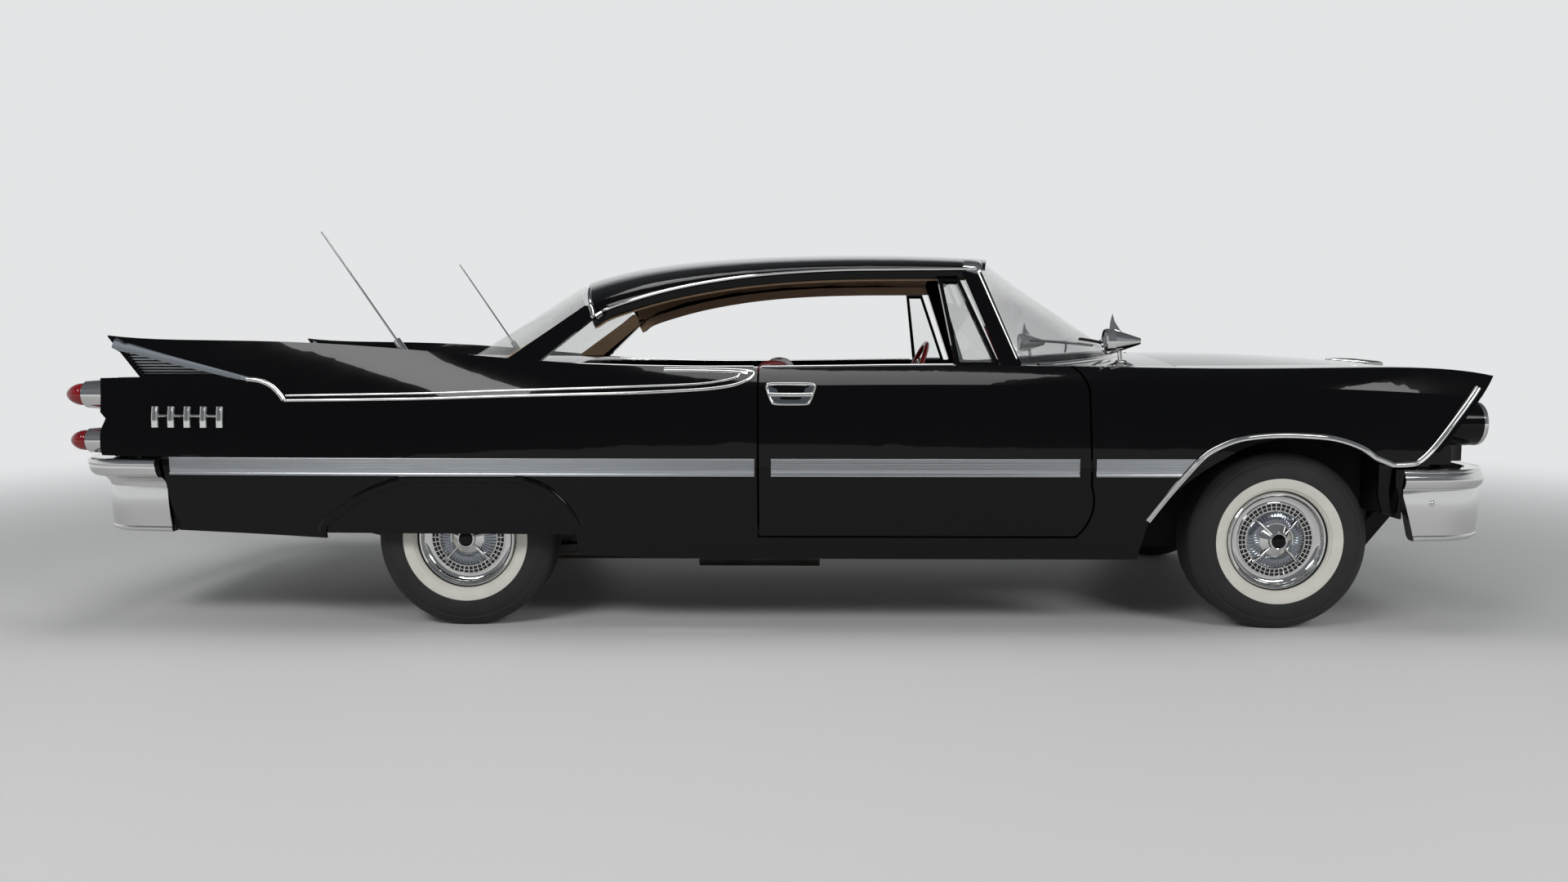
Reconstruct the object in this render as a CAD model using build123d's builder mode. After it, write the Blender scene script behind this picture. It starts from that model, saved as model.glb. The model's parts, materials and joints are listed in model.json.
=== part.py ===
"""A 1950s finned two-door hardtop car, as an assembly of separate panels and running gear.

Frame: +X forward, +Y to the car's left, +Z up. The origin lies on the ground, midway along and across
the car. Every size is in millimetres.
"""

import os

from build123d import *

# Overall layout
WHEELBASE = 3099.0
FRONT_AXLE_X = 1890.0
REAR_AXLE_X = FRONT_AXLE_X - WHEELBASE
FRONT_TRACK = 1550.0
REAR_TRACK = 1520.0

# Wheels and tyres
TYRE_R = 340.0
TYRE_WIDTH = 205.0
TREAD_WIDTH = 150.0
BEAD_R = 190.0
TYRE_SEAT_GAP = 0.3
RIM_R = BEAD_R - TYRE_SEAT_GAP
RIM_WALL = 12.0
DRUM_R = 140.0
SPINDLE_R = 20.0
RUNNING_GAP = 0.05
COVER_CAP_R = 34.0

# Panels
SKIN = 30.0
RECESS = 18.0
PANEL_GAP = 8.0
LID_THICKNESS = 26.0
GLASS = 8.0
SEAT_GAP = 0.3
SIDE_BOW = 7.0
HINGE_PIN_R = 2.0
HINGE_EYE_R = 3.0
DOOR_HINGE = (1149.0, 985.0, 640.0)
HOOD_HINGE_X = 1496.0
HOOD_HINGE_Z = 1048.0
LID_HINGE_X = -1388.0
LID_HINGE_Z = 1037.0
LID_HINGE_Y = (-120.0, 120.0)

# Body side sections, front to rear, for the car's left half. Each section runs from the sill over the
# widest line, the shoulder crease and the crest (fender peak, belt or fin edge) to the inner edge.
# Columns: x, sill y, sill z, wide y, wide z, crease y, crease z, crest y, crest z, inner y, inner z,
# inner bow
BODY_SECTIONS = [
    (2680.0, 872.0, 330.0, 930.0, 632.0, 912.0, 880.0, 880.0, 962.0, 640.0, 952.0, 4.0),
    (1900.0, 905.0, 285.0, 975.0, 632.0, 957.0, 925.0, 905.0, 996.0, 650.0, 1000.0, 6.0),
    (1100.0, 915.0, 280.0, 988.0, 632.0, 970.0, 935.0, 905.0, 1003.0, 700.0, 1006.0, 2.0),
    (200.0, 918.0, 280.0, 990.0, 632.0, 974.0, 935.0, 905.0, 1000.0, 700.0, 1006.0, 2.0),
    (-600.0, 918.0, 285.0, 990.0, 632.0, 974.0, 915.0, 906.0, 1006.0, 700.0, 1006.0, -4.0),
    (-1400.0, 915.0, 330.0, 985.0, 632.0, 966.0, 886.0, 908.0, 1066.0, 680.0, 1008.0, -24.0),
    (-2000.0, 900.0, 366.0, 968.0, 632.0, 948.0, 884.0, 902.0, 1098.0, 640.0, 968.0, -44.0),
    (-2560.0, 872.0, 392.0, 934.0, 632.0, 914.0, 886.0, 890.0, 1122.0, 600.0, 905.0, -60.0),
]

# Doors
DOOR_REAR_X = -84.0
DOOR_FRONT_X = 1156.0
DOOR_BOTTOM_Z = 362.0
DOOR_INNER_Y = 838.0
DOOR_TOP_Z = 1030.0
VENT_FRAME = 22.0
VENT_GLASS = 6.0

# Lids
HOOD_HALF_WIDTH = 690.0
HOOD_REAR_X = 1500.0
HOOD_FRONT_X = 2610.0
LID_FRONT_X = -1392.0
LID_REAR_X = -2470.0
LID_FRONT_HALF = 690.0
LID_REAR_HALF = 632.0

# Greenhouse
BELT_Z = 1003.0
CABIN_HALF = 832.0
ROOF_SKIN = 36.0
SCREEN_FOOT_X = 915.0
SCREEN_NOSE_X = 1455.0

# Underbody
FLOOR_Z = 330.0
FLOOR_SHEET = 15.0
TRUNK_Z = 505.0
FIREWALL_X = 1190.0
RAIL_IN = 360.0
RAIL_OUT = 440.0
RAIL_TOP_Z = 330.0
KINGPIN_OFFSET = 125.0
KINGPIN_Y = FRONT_TRACK / 2 - KINGPIN_OFFSET
TUNNEL_R = 125.0
SHAFT_Z = 330.0


def outline_face(plane, points, grow=0.0):
    """A closed face on a plane; each point is (across, up, sagitta of the edge that leaves it)."""
    with BuildSketch(plane) as face:
        with BuildLine():
            for (u, v, bow), (u_next, v_next, _) in zip(points, points[1:] + points[:1]):
                if bow:
                    SagittaArc((u, v), (u_next, v_next), bow)
                else:
                    Line((u, v), (u_next, v_next))
        make_face()
        if grow:
            offset(amount=grow, kind=Kind.INTERSECTION, mode=Mode.REPLACE)
    return face.sketch.face()


def across(x):
    """The plane across the car at x: its own axes are the car's Y and Z."""
    return Plane(origin=(x, 0, 0), x_dir=(0, 1, 0), z_dir=(1, 0, 0))


def along(y=0.0):
    """The plane along the car at y: its own axes are the car's X and Z, and it faces the right side."""
    return Plane(origin=(0, y, 0), x_dir=(1, 0, 0), z_dir=(0, -1, 0))


def side_face(points, grow=0.0):
    return outline_face(along(), [(p + (0.0,))[:3] for p in points], grow)


def disc(plane, u, v, radius):
    with BuildSketch(plane) as face:
        with Locations((u, v)):
            Circle(radius)
    return face.sketch.face()


def add_box(x_low, x_high, y_low, y_high, z_low, z_high, mode=Mode.ADD):
    with Locations(((x_low + x_high) / 2, (y_low + y_high) / 2, (z_low + z_high) / 2)):
        Box(x_high - x_low, y_high - y_low, z_high - z_low, mode=mode)


def rod(start, end, radius, mode=Mode.ADD):
    """A round bar between two points."""
    axis = Vector(*end) - Vector(*start)
    extrude(disc(Plane(origin=start, z_dir=axis), 0, 0, radius), amount=axis.length, mode=mode)


def hinge_pin(point, axis, panel):
    """A thin pin in a shut line, held at both ends by stubs that reach into the fixed panel."""
    middle, axis, panel = Vector(*point), Vector(*axis), Vector(*panel)
    rod(tuple(middle - axis * 25), tuple(middle + axis * 25), HINGE_PIN_R)
    for end in (-20, 20):
        foot = middle + axis * end
        rod(tuple(foot), tuple(foot + panel * 8), HINGE_PIN_R)


def hinge_eye(point, axis, panel):
    """The moving panel's eye on that pin."""
    middle, axis, panel = Vector(*point), Vector(*axis), Vector(*panel)
    rod(tuple(middle - axis * 12), tuple(middle + axis * 12), HINGE_EYE_R)
    rod(tuple(middle), tuple(middle + panel * 8), HINGE_EYE_R)
    rod(tuple(middle - axis * 14), tuple(middle + axis * 14), HINGE_PIN_R + RUNNING_GAP, mode=Mode.SUBTRACT)


def body_section(row, skin=0.0, open_by=0.0):
    """The body side's section, moved inwards by the skin; open_by carries it past the sill and inner edge."""
    x, sill_y, sill_z, wide_y, wide_z, crease_y, crease_z, crest_y, crest_z, inner_y, inner_z, bow = row
    low = sill_z - open_by
    inside = inner_y - open_by - 120.0
    return outline_face(
        across(x),
        [
            (sill_y - skin, low, -SIDE_BOW),
            (wide_y - skin, wide_z, -SIDE_BOW / 2),
            (crease_y - skin, crease_z - skin / 2, -SIDE_BOW / 2),
            (crest_y - skin, crest_z - 1.6 * skin, -bow),
            (inner_y - skin / 4, inner_z - skin, 0.0),
            (inside, inner_z - skin, 0.0),
            (inside, low, 0.0),
        ],
    )


with BuildPart() as body_side:
    loft(sections=[body_section(row) for row in BODY_SECTIONS])
with BuildPart() as body_cavity:
    loft(sections=[body_section(row, SKIN, 60.0) for row in BODY_SECTIONS])
with BuildPart() as recess_core:
    loft(sections=[body_section(row, RECESS, 60.0) for row in BODY_SECTIONS])
with BuildPart() as body_shell:
    add(body_side.part)
    add(body_cavity.part, mode=Mode.SUBTRACT)

os.makedirs("parts", exist_ok=True)
HALF = 1200.0


def save(part, name):
    part.label = name
    export_step(part, f"parts/{name}.step")


def save_pair(part, name):
    """Writes a left piece and its mirror image as two nodes."""
    with BuildPart() as right:
        mirror(part, about=Plane.XZ)
    save(part, name + "_left")
    save(right.part, name + "_right")


def main_solid(part):
    """The largest solid, without the slivers a trim leaves."""
    return part.solids().sort_by(SortBy.VOLUME)[-1]


def both_sides(part):
    """A left piece with its mirror image, as separate solids of one node."""
    with BuildPart() as pair:
        add(part)
        mirror(part, about=Plane.XZ)
    return pair.part


def plan_face(points, z=0.0):
    return outline_face(Plane.XY.offset(z), [(p + (0.0,))[:3] for p in points])


# Outlines in side view: x, z, sagitta of the edge that leaves the point
DOOR_OUTLINE = [
    (DOOR_REAR_X, DOOR_BOTTOM_Z),
    (DOOR_FRONT_X - 50, DOOR_BOTTOM_Z, -32.0),
    (DOOR_FRONT_X, 560.0),
    (DOOR_FRONT_X - 12, 880.0, -26.0),
    (DOOR_FRONT_X - 100, DOOR_TOP_Z),
    (DOOR_REAR_X, DOOR_TOP_Z),
]
FRONT_ARCH = [
    (1335.0, 200.0),
    (1345.0, 300.0),
    (1372.0, 430.0, 22.0),
    (1640.0, 668.0, 26.0),
    (1930.0, 735.0, 22.0),
    (2140.0, 690.0),
    (2245.0, 642.0),
    (2392.0, 634.0),
    (2655.0, 968.0),
    (2760.0, 968.0),
    (2760.0, 200.0),
]
REAR_ARCH = [
    (-745.0, 200.0),
    (-762.0, 330.0, -30.0),
    (-880.0, 545.0, -22.0),
    (-1202.0, 594.0, -26.0),
    (-1573.0, 504.0),
    (-1722.0, 400.0),
    (-1722.0, 200.0),
]
SKIRT_BOTTOM_Z = 373.0
TAIL_OUTLINE = [
    (-2545.0, 1160.0),
    (-2535.0, 1112.0),
    (-2405.0, 962.0),
    (-2560.0, 958.0, -16.0),
    (-2560.0, 830.0),
    (-2538.0, 806.0),
    (-2552.0, 776.0, -10.0),
    (-2552.0, 668.0),
    (-2318.0, 664.0),
    (-2292.0, 300.0),
    (-2800.0, 300.0),
    (-2800.0, 1160.0),
]
GILL_OUTLINE = [
    (-2498.0, 1088.0),
    (-2390.0, 968.0),
    (-2078.0, 968.0),
]
door_face = side_face(DOOR_OUTLINE)
front_arch_face = side_face(FRONT_ARCH)
rear_arch_face = side_face(REAR_ARCH)
tail_face = side_face(TAIL_OUTLINE)
gill_face = side_face(GILL_OUTLINE)
hood_plan = plan_face(
    [
        (HOOD_REAR_X, -HOOD_HALF_WIDTH),
        (2800.0, -HOOD_HALF_WIDTH),
        (2800.0, HOOD_HALF_WIDTH),
        (HOOD_REAR_X, HOOD_HALF_WIDTH),
    ]
)
lid_plan = plan_face(
    [
        (LID_FRONT_X, -LID_FRONT_HALF),
        (LID_FRONT_X, LID_FRONT_HALF),
        (-2800.0, LID_REAR_HALF - 10),
        (-2800.0, 10 - LID_REAR_HALF),
    ]
)
cabin_plan = plan_face(
    [
        (LID_FRONT_X, -CABIN_HALF),
        (LID_FRONT_X, CABIN_HALF),
        (HOOD_REAR_X, CABIN_HALF),
        (HOOD_REAR_X, -CABIN_HALF),
    ]
)
TALL = 1300.0

# Front fenders: from the door's front edge to the brow over the lamps
fender_face = side_face([(1000.0, 200.0), (2760.0, 200.0), (2760.0, 1160.0), (1000.0, 1160.0)])
sill_end_face = side_face([(900.0, 200.0), (1110.0, 200.0), (1110.0, 400.0), (900.0, 400.0)])
with BuildPart() as front_fender:
    add(body_shell.part)
    extrude(fender_face, amount=-HALF, mode=Mode.INTERSECT)
    extrude(door_face, amount=-HALF, mode=Mode.SUBTRACT)
    extrude(sill_end_face, amount=-HALF, mode=Mode.SUBTRACT)
    extrude(front_arch_face, amount=-HALF, mode=Mode.SUBTRACT)
    extrude(hood_plan, amount=TALL, mode=Mode.SUBTRACT)
    extrude(cabin_plan, amount=TALL, mode=Mode.SUBTRACT)
    hinge_pin(DOOR_HINGE, (0, 0, 1), (1, 0, 0))
save_pair(front_fender.part, "front_fender")

# Rear quarters: from the door's rear edge to the tail, with the fin, lamp nacelles and rear wheel arch
# Columns: y, z, front radius, rear radius
NACELLES = [(812.0, 893.0, 74.0, 62.0), (812.0, 716.0, 68.0, 57.0)]
NACELLE_FRONT_X = -2350.0
NACELLE_REAR_X = -2572.0
END_CAP_X = -2520.0
with BuildPart() as gill_recess:
    extrude(gill_face, amount=-HALF)
    add(recess_core.part, mode=Mode.SUBTRACT)
with BuildPart() as end_cap:
    with BuildSketch(across(END_CAP_X)):
        with Locations((760, 800)):
            Rectangle(250, 250)
    extrude(amount=25)
    add(body_side.part, mode=Mode.INTERSECT)
with BuildPart() as rear_quarter:
    add(body_shell.part)
    extrude(
        side_face([(DOOR_REAR_X, 200.0), (DOOR_REAR_X, 1160.0), (-2760.0, 1160.0), (-2760.0, 200.0)]),
        amount=-HALF,
        mode=Mode.INTERSECT,
    )
    extrude(rear_arch_face, amount=-HALF, mode=Mode.SUBTRACT)
    extrude(tail_face, amount=-HALF, mode=Mode.SUBTRACT)
    add(gill_recess.part, mode=Mode.SUBTRACT)
    add(end_cap.part)
    for y, z, r_front, r_rear in NACELLES:
        loft(
            sections=[
                disc(across(NACELLE_FRONT_X), y, z, r_front),
                disc(across(NACELLE_REAR_X), y, z, r_rear),
            ]
        )
    extrude(lid_plan, amount=TALL, mode=Mode.SUBTRACT)
    extrude(cabin_plan, amount=TALL, mode=Mode.SUBTRACT)
save_pair(rear_quarter.part, "rear_quarter")

# Skirts that close the upper part of the rear wheel arches
with BuildPart() as fender_skirt:
    add(body_shell.part)
    extrude(side_face(REAR_ARCH, -SEAT_GAP), amount=-HALF, mode=Mode.INTERSECT)
    with Locations((-1200, 800, SKIRT_BOTTOM_Z - 200)):
        Box(1600, 800, 400, mode=Mode.SUBTRACT)
save(both_sides(fender_skirt.part), "fender_skirts")

# Sills under the doors
with BuildPart() as rocker_sill:
    add(body_side.part)
    extrude(
        side_face(
            [
                (DOOR_REAR_X + SEAT_GAP, 200.0),
                (1109.7, 200.0),
                (1109.7, DOOR_BOTTOM_Z),
                (DOOR_REAR_X + SEAT_GAP, DOOR_BOTTOM_Z),
            ]
        ),
        amount=-HALF,
        mode=Mode.INTERSECT,
    )
    with Locations((500, 840.3 - 600, 300)):
        Box(1600, 1200, 400, mode=Mode.SUBTRACT)
save(both_sides(rocker_sill.part), "rocker_sills")

# Greenhouse
def crown_face(x, half, edge_z, centre_z, thickness):
    """A thick arc across the car: a panel's section with its crown."""
    rise = centre_z - edge_z
    return outline_face(
        across(x),
        [
            (half, edge_z, -rise),
            (-half, edge_z, 0.0),
            (-half, edge_z - thickness, rise),
            (half, edge_z - thickness, 0.0),
        ],
    )


def roof_face(x, half, edge_z, centre_z):
    """A half ellipse across the car, one roof skin thick."""
    rise = centre_z - edge_z
    with BuildSketch(across(x)) as face:
        with BuildLine():
            EllipticalCenterArc((0, edge_z), half, rise, start_angle=0, arc_size=180)
            Line((-half, edge_z), (ROOF_SKIN - half, edge_z))
            EllipticalCenterArc((0, edge_z), half - ROOF_SKIN, rise - ROOF_SKIN, start_angle=0, arc_size=180)
            Line((half - ROOF_SKIN, edge_z), (half, edge_z))
        make_face()
    return face.sketch.face()


def block_face(z, x_low, x_high, y_low, y_high):
    return plan_face([(x_low, y_low), (x_high, y_low), (x_high, y_high), (x_low, y_high)], z)


# Columns: x, half width, drip rail z, centre z
ROOF_SECTIONS = [
    (865.0, 672.0, 1372.0, 1448.0),
    (400.0, 690.0, 1374.0, 1468.0),
    (-100.0, 692.0, 1350.0, 1462.0),
    (-480.0, 686.0, 1284.0, 1434.0),
    (-900.0, 660.0, 1120.0, 1336.0),
]
# Columns: z, x low, x high, y low, y high
A_PILLAR = [(1380.0, 700.0, 775.0, 628.0, 676.0), (BELT_Z + 2, 842.0, 916.0, 776.0, 828.0)]
C_PILLAR = [(1236.0, -770.0, -676.0, 628.0, 680.0), (BELT_Z + 2, -1080.0, -940.0, 774.0, 826.0)]
ROOF_CORNER_X = 790.0
ROOF_CORNER_Y = 700.0
ROOF_FRONT_BOW = 76.0
roof_front = plan_face(
    [
        (ROOF_CORNER_X, -ROOF_CORNER_Y, -ROOF_FRONT_BOW),
        (ROOF_CORNER_X, ROOF_CORNER_Y),
        (1000.0, ROOF_CORNER_Y),
        (1000.0, -ROOF_CORNER_Y),
    ],
    TALL,
)
with BuildPart() as roof:
    loft(sections=[roof_face(*row) for row in ROOF_SECTIONS])
    extrude(roof_front, amount=300, mode=Mode.SUBTRACT)
    extrude(
        side_face(
            [(-742.0, 1100.0), (-742.0, 1215.0), (-885.0, 1500.0), (-1000.0, 1500.0), (-1000.0, 1000.0)]
        ),
        amount=HALF,
        both=True,
        mode=Mode.SUBTRACT,
    )
    for pillar in (A_PILLAR, C_PILLAR):
        loft(sections=[block_face(*row) for row in pillar])
    mirror(about=Plane.XZ)
save(roof.part, "roof")


def glass_face(half, side_x, side_z, centre_x, centre_z):
    """A bent pane's edge: a crescent from one side of the car over the centre line to the other."""
    depth = Vector(centre_x - side_x, 0, centre_z - side_z)
    plane = Plane(origin=(side_x, 0, side_z), x_dir=(0, 1, 0), z_dir=Vector(0, 1, 0).cross(depth))
    return outline_face(
        plane,
        [
            (half, 0.0, -depth.length),
            (-half, 0.0, 0.0),
            (GLASS - half, 0.0, depth.length - GLASS),
            (half - GLASS, 0.0, 0.0),
        ],
    )


# Columns: half width, side x, side z, centre x, centre z
WINDSHIELD = [
    (826.0, SCREEN_FOOT_X + 4, BELT_Z + 3, SCREEN_NOSE_X, 1046.0),
    (664.0, 782.0, 1378.0, 872.0, 1436.0),
]
REAR_WINDOW = [(822.0, -1084.0, BELT_Z + 3, -1345.0, 1040.0), (664.0, -760.0, 1226.0, -884.0, 1340.0)]
with BuildPart() as windshield:
    loft(sections=[glass_face(*row) for row in WINDSHIELD])
    add(roof.part, mode=Mode.SUBTRACT)
save(main_solid(windshield.part), "windshield")
with BuildPart() as rear_window:
    loft(sections=[glass_face(*row) for row in REAR_WINDOW])
    add(roof.part, mode=Mode.SUBTRACT)
save(main_solid(rear_window.part), "rear_window")


def circle_from(half, side_x, nose_x):
    """Radius and centre x of the arc through both sides and the nose of a pane's foot."""
    sag = abs(nose_x - side_x)
    radius = (half * half + sag * sag) / (2 * sag)
    centre = nose_x - radius if nose_x > side_x else nose_x + radius
    return radius, centre


screen_r, screen_x = circle_from(826.0, SCREEN_FOOT_X + 4, SCREEN_NOSE_X)
back_r, back_x = circle_from(822.0, -1084.0, -1345.0)

# Cowl: the panel between the windshield's foot and the hood
# Columns: x, half width, edge z, centre z
COWL_SECTIONS = [
    (860.0, 824.0, 1001.0, 1040.0),
    (1200.0, 824.0, 1004.0, 1046.0),
    (1492.0, 824.0, 1001.0, 1050.0),
]
with BuildPart() as cowl:
    loft(sections=[crown_face(*row, LID_THICKNESS) for row in COWL_SECTIONS])
    with Locations((screen_x, 0, 1000)):
        Cylinder(screen_r - 8, 400, mode=Mode.SUBTRACT)
    with Locations((screen_x - 600, 0, 1000)):
        Box(1200 + 700, 2000, 400, mode=Mode.SUBTRACT)
with BuildPart() as cowl_trimmed:
    add(cowl.part)
    add(windshield.part, mode=Mode.SUBTRACT)
with BuildPart() as cowl_panel:
    add(main_solid(cowl_trimmed.part))
    for y in LID_HINGE_Y:
        hinge_pin((HOOD_HINGE_X, y, HOOD_HINGE_Z), (0, 1, 0), (-0.9, 0, -0.44))
save(cowl_panel.part, "cowl_panel")

# Hood, hinged along its rear edge
# Columns: x, half width, edge z, centre z
hood_half = HOOD_HALF_WIDTH - PANEL_GAP
HOOD_SECTIONS = [
    (HOOD_REAR_X, hood_half, 1000.0, 1050.0),
    (2050.0, hood_half, 992.0, 1042.0),
    (HOOD_FRONT_X, hood_half, 950.0, 996.0),
]
with BuildPart() as hood:
    loft(sections=[crown_face(*row, LID_THICKNESS) for row in HOOD_SECTIONS])
    for y in LID_HINGE_Y:
        hinge_eye((HOOD_HINGE_X, y, HOOD_HINGE_Z), (0, 1, 0), (0.9, 0, -0.44))
save(hood.part, "hood")

# Deck panel between the rear window and the trunk lid, with the parcel shelf inside the window
# Columns: x, half width, edge z, centre z
DECK_SECTIONS = [
    (-800.0, 760.0, 1000.0, 1030.0),
    (-1100.0, 824.0, 1002.0, 1036.0),
    (LID_FRONT_X + PANEL_GAP, 824.0, 1004.0, 1040.0),
]
with BuildPart() as deck_panel:
    loft(sections=[crown_face(*row, LID_THICKNESS) for row in DECK_SECTIONS])
    add(rear_quarter.part, mode=Mode.SUBTRACT)
    mirror(rear_quarter.part, about=Plane.XZ, mode=Mode.SUBTRACT)
    add(rear_window.part, mode=Mode.SUBTRACT)
    add(roof.part, mode=Mode.SUBTRACT)
with BuildPart() as deck_hinged:
    add(main_solid(deck_panel.part))
    for y in LID_HINGE_Y:
        hinge_pin((LID_HINGE_X, y, LID_HINGE_Z), (0, 1, 0), (0.9, 0, -0.44))
save(deck_hinged.part, "deck_panel")

# Trunk lid, hinged along its front edge
# Columns: x, half width, edge z, centre z
LID_SECTIONS = [
    (LID_FRONT_X, LID_FRONT_HALF - PANEL_GAP, 1006.0, 1038.0),
    (-1900.0, 658.0, 974.0, 1006.0),
    (LID_REAR_X, LID_REAR_HALF - PANEL_GAP + 6, 918.0, 946.0),
]
LID_DROP = [
    (LID_REAR_X + 20, 915.0),
    (LID_REAR_X + 20, 700.0),
    (LID_REAR_X - 15, 700.0),
    (LID_REAR_X, 919.0, 0.0),
]
with BuildPart() as trunk_lid:
    loft(sections=[crown_face(*row, LID_THICKNESS) for row in LID_SECTIONS])
    extrude(side_face(LID_DROP), amount=LID_REAR_HALF - PANEL_GAP, both=True)
    for y in LID_HINGE_Y:
        hinge_eye((LID_HINGE_X, y, LID_HINGE_Z), (0, 1, 0), (-0.9, 0, -0.44))
save(trunk_lid.part, "trunk_lid")

# Doors, with the frame of the front vent window
SIDE_GLASS = Plane(origin=(0, 856, 1000), x_dir=(1, 0, 0), z_dir=Vector(1, 0, 0).cross(Vector(0, -176, 350)))
VENT_HEIGHT = 374.0
VENT_OUTLINE = [
    (662.0, -10.0, 0.0),
    (830.0, -10.0, 0.0),
    (692.0, VENT_HEIGHT, 0.0),
    (610.0, VENT_HEIGHT, 0.0),
]
VENT_HOLE = [
    (676.0, 14.0, 0.0),
    (806.0, 14.0, 0.0),
    (682.0, VENT_HEIGHT - 14, 0.0),
    (626.0, VENT_HEIGHT - 14, 0.0),
]
vent_face = outline_face(SIDE_GLASS, VENT_OUTLINE)
with BuildPart() as door:
    add(body_side.part)
    extrude(side_face(DOOR_OUTLINE, -PANEL_GAP), amount=-HALF, mode=Mode.INTERSECT)
    with Locations((500, DOOR_INNER_Y - 600, 700)):
        Box(2000, 1200, 1200, mode=Mode.SUBTRACT)
    extrude(vent_face, amount=VENT_FRAME / 2, both=True)
    extrude(outline_face(SIDE_GLASS, VENT_HOLE), amount=VENT_FRAME, both=True, mode=Mode.SUBTRACT)
    hinge_eye(DOOR_HINGE, (0, 0, 1), (-1, 0, 0))
save_pair(door.part, "door")
with BuildPart() as vent_glass:
    extrude(outline_face(SIDE_GLASS, VENT_HOLE, -SEAT_GAP), amount=VENT_GLASS / 2, both=True)
save_pair(vent_glass.part, "vent_glass")

# Dashboard under the windshield
DASH_PROFILE = [
    (1180.0, 960.0),
    (900.0, 700.0),
    (845.0, 715.0),
    (790.0, 880.0, 16.0),
    (850.0, 985.0),
    (1440.0, 1000.0),
    (1440.0, 960.0),
]
with BuildPart() as dashboard:
    extrude(side_face(DASH_PROFILE), amount=770, both=True)
    with Locations((screen_x, 0, 800)):
        Cylinder(screen_r - 14, 800, mode=Mode.INTERSECT)
save(dashboard.part, "dashboard")

# Floor, tunnel, firewall, inner fenders, trunk floor and rear wheelhouses, as one welded pan
KICK_X = -800.0
TRUNK_REAR_X = -2318.3
HOUSE_R = 400.0
HOUSE_SHEET = 15.0
HOUSE_IN_Y = 622.0
HOUSE_OUT_Y = 880.0
# Columns: x low, x high, y low, y high, z low, z high
FLOOR_BOXES = [
    (KICK_X, FIREWALL_X, -840.0, 840.0, FLOOR_Z, FLOOR_Z + FLOOR_SHEET),
    (FIREWALL_X - FLOOR_SHEET, FIREWALL_X, -824.0, 824.0, FLOOR_Z, 955.0),
    (KICK_X, KICK_X + FLOOR_SHEET, -840.0, 840.0, FLOOR_Z, TRUNK_Z + FLOOR_SHEET),
    (-1640.0, KICK_X, -630.0, 630.0, TRUNK_Z, TRUNK_Z + FLOOR_SHEET),
    (TRUNK_REAR_X, -1640.0, -840.0, 840.0, TRUNK_Z, TRUNK_Z + FLOOR_SHEET),
    (FIREWALL_X - 5, 2400.0, 466.0, 480.0, RAIL_TOP_Z, 900.0),
    (FIREWALL_X - 5, 2400.0, -480.0, -466.0, RAIL_TOP_Z, 900.0),
    (2364.0, 2379.7, 466.0, 866.0, 645.0, 860.0),
    (2364.0, 2379.7, -866.0, -466.0, 645.0, 860.0),
]


with BuildPart() as wheelhouse:
    extrude(disc(along(HOUSE_IN_Y), REAR_AXLE_X, TYRE_R, HOUSE_R), amount=HOUSE_IN_Y - HOUSE_OUT_Y)
    inner_y = HOUSE_IN_Y + HOUSE_SHEET
    extrude(
        disc(along(inner_y), REAR_AXLE_X, TYRE_R, HOUSE_R - HOUSE_SHEET),
        amount=inner_y - HOUSE_OUT_Y,
        mode=Mode.SUBTRACT,
    )
    add_box(-1700, -700, 600, 900, -200, TRUNK_Z, mode=Mode.SUBTRACT)
with BuildPart() as floor_pan:
    for row in FLOOR_BOXES:
        add_box(*row)
    rod((KICK_X, 0, SHAFT_Z), (FIREWALL_X, 0, SHAFT_Z), TUNNEL_R + FLOOR_SHEET)
    rod((KICK_X - 50, 0, SHAFT_Z), (FIREWALL_X + 50, 0, SHAFT_Z), TUNNEL_R, mode=Mode.SUBTRACT)
    add_box(KICK_X - 50, FIREWALL_X + 50, -200, 200, SHAFT_Z - 200, FLOOR_Z, mode=Mode.SUBTRACT)
    add(wheelhouse.part)
    mirror(wheelhouse.part, about=Plane.XZ)
    add_box(FRONT_AXLE_X - 110, FRONT_AXLE_X + 110, -490, 490, 470, 514, mode=Mode.SUBTRACT)
save(floor_pan.part, "floor_pan")

# Chassis frame: two kicked-up rails with crossmembers, spring hangers, body pads and lift pads
RAIL_PROFILE = [
    (2706.0, 400.0),
    (2706.0, 480.0),
    (2520.0, 480.0),
    (2400.0, RAIL_TOP_Z),
    (1500.0, RAIL_TOP_Z),
    (1400.0, 300.0),
    (-830.0, 300.0),
    (-990.0, 480.0),
    (-1640.0, 480.0),
    (-1790.0, 410.0),
    (-2520.0, 410.0),
    (-2560.0, 480.0),
    (-2625.0, 480.0),
    (-2625.0, 400.0),
    (-2560.0, 400.0),
    (-2520.0, 330.0),
    (-1800.0, 330.0),
    (-1650.0, 400.0),
    (-960.0, 400.0),
    (-800.0, 215.0),
    (1400.0, 215.0),
    (1500.0, 250.0),
    (2420.0, 250.0),
    (2540.0, 400.0),
]
# Columns: x low, x high, y low, y high, z low, z high
CROSSMEMBERS = [
    (2330.0, 2410.0, -400.0, 400.0, 250.0, RAIL_TOP_Z),
    (1850.0, 1930.0, -400.0, 400.0, 250.0, RAIL_TOP_Z),
    (660.0, 740.0, -400.0, 400.0, 215.0, 280.0),
    (-440.0, -360.0, -400.0, 400.0, 215.0, 280.0),
    (-1700.0, -1640.0, -400.0, 400.0, 400.0, 470.0),
    (-2460.0, -2400.0, -400.0, 400.0, 330.0, 410.0),
]
SPRING_Y = (510.0, 570.0)
FRONT_EYE_X = -640.0
REAR_EYE_X = -1790.0
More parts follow.
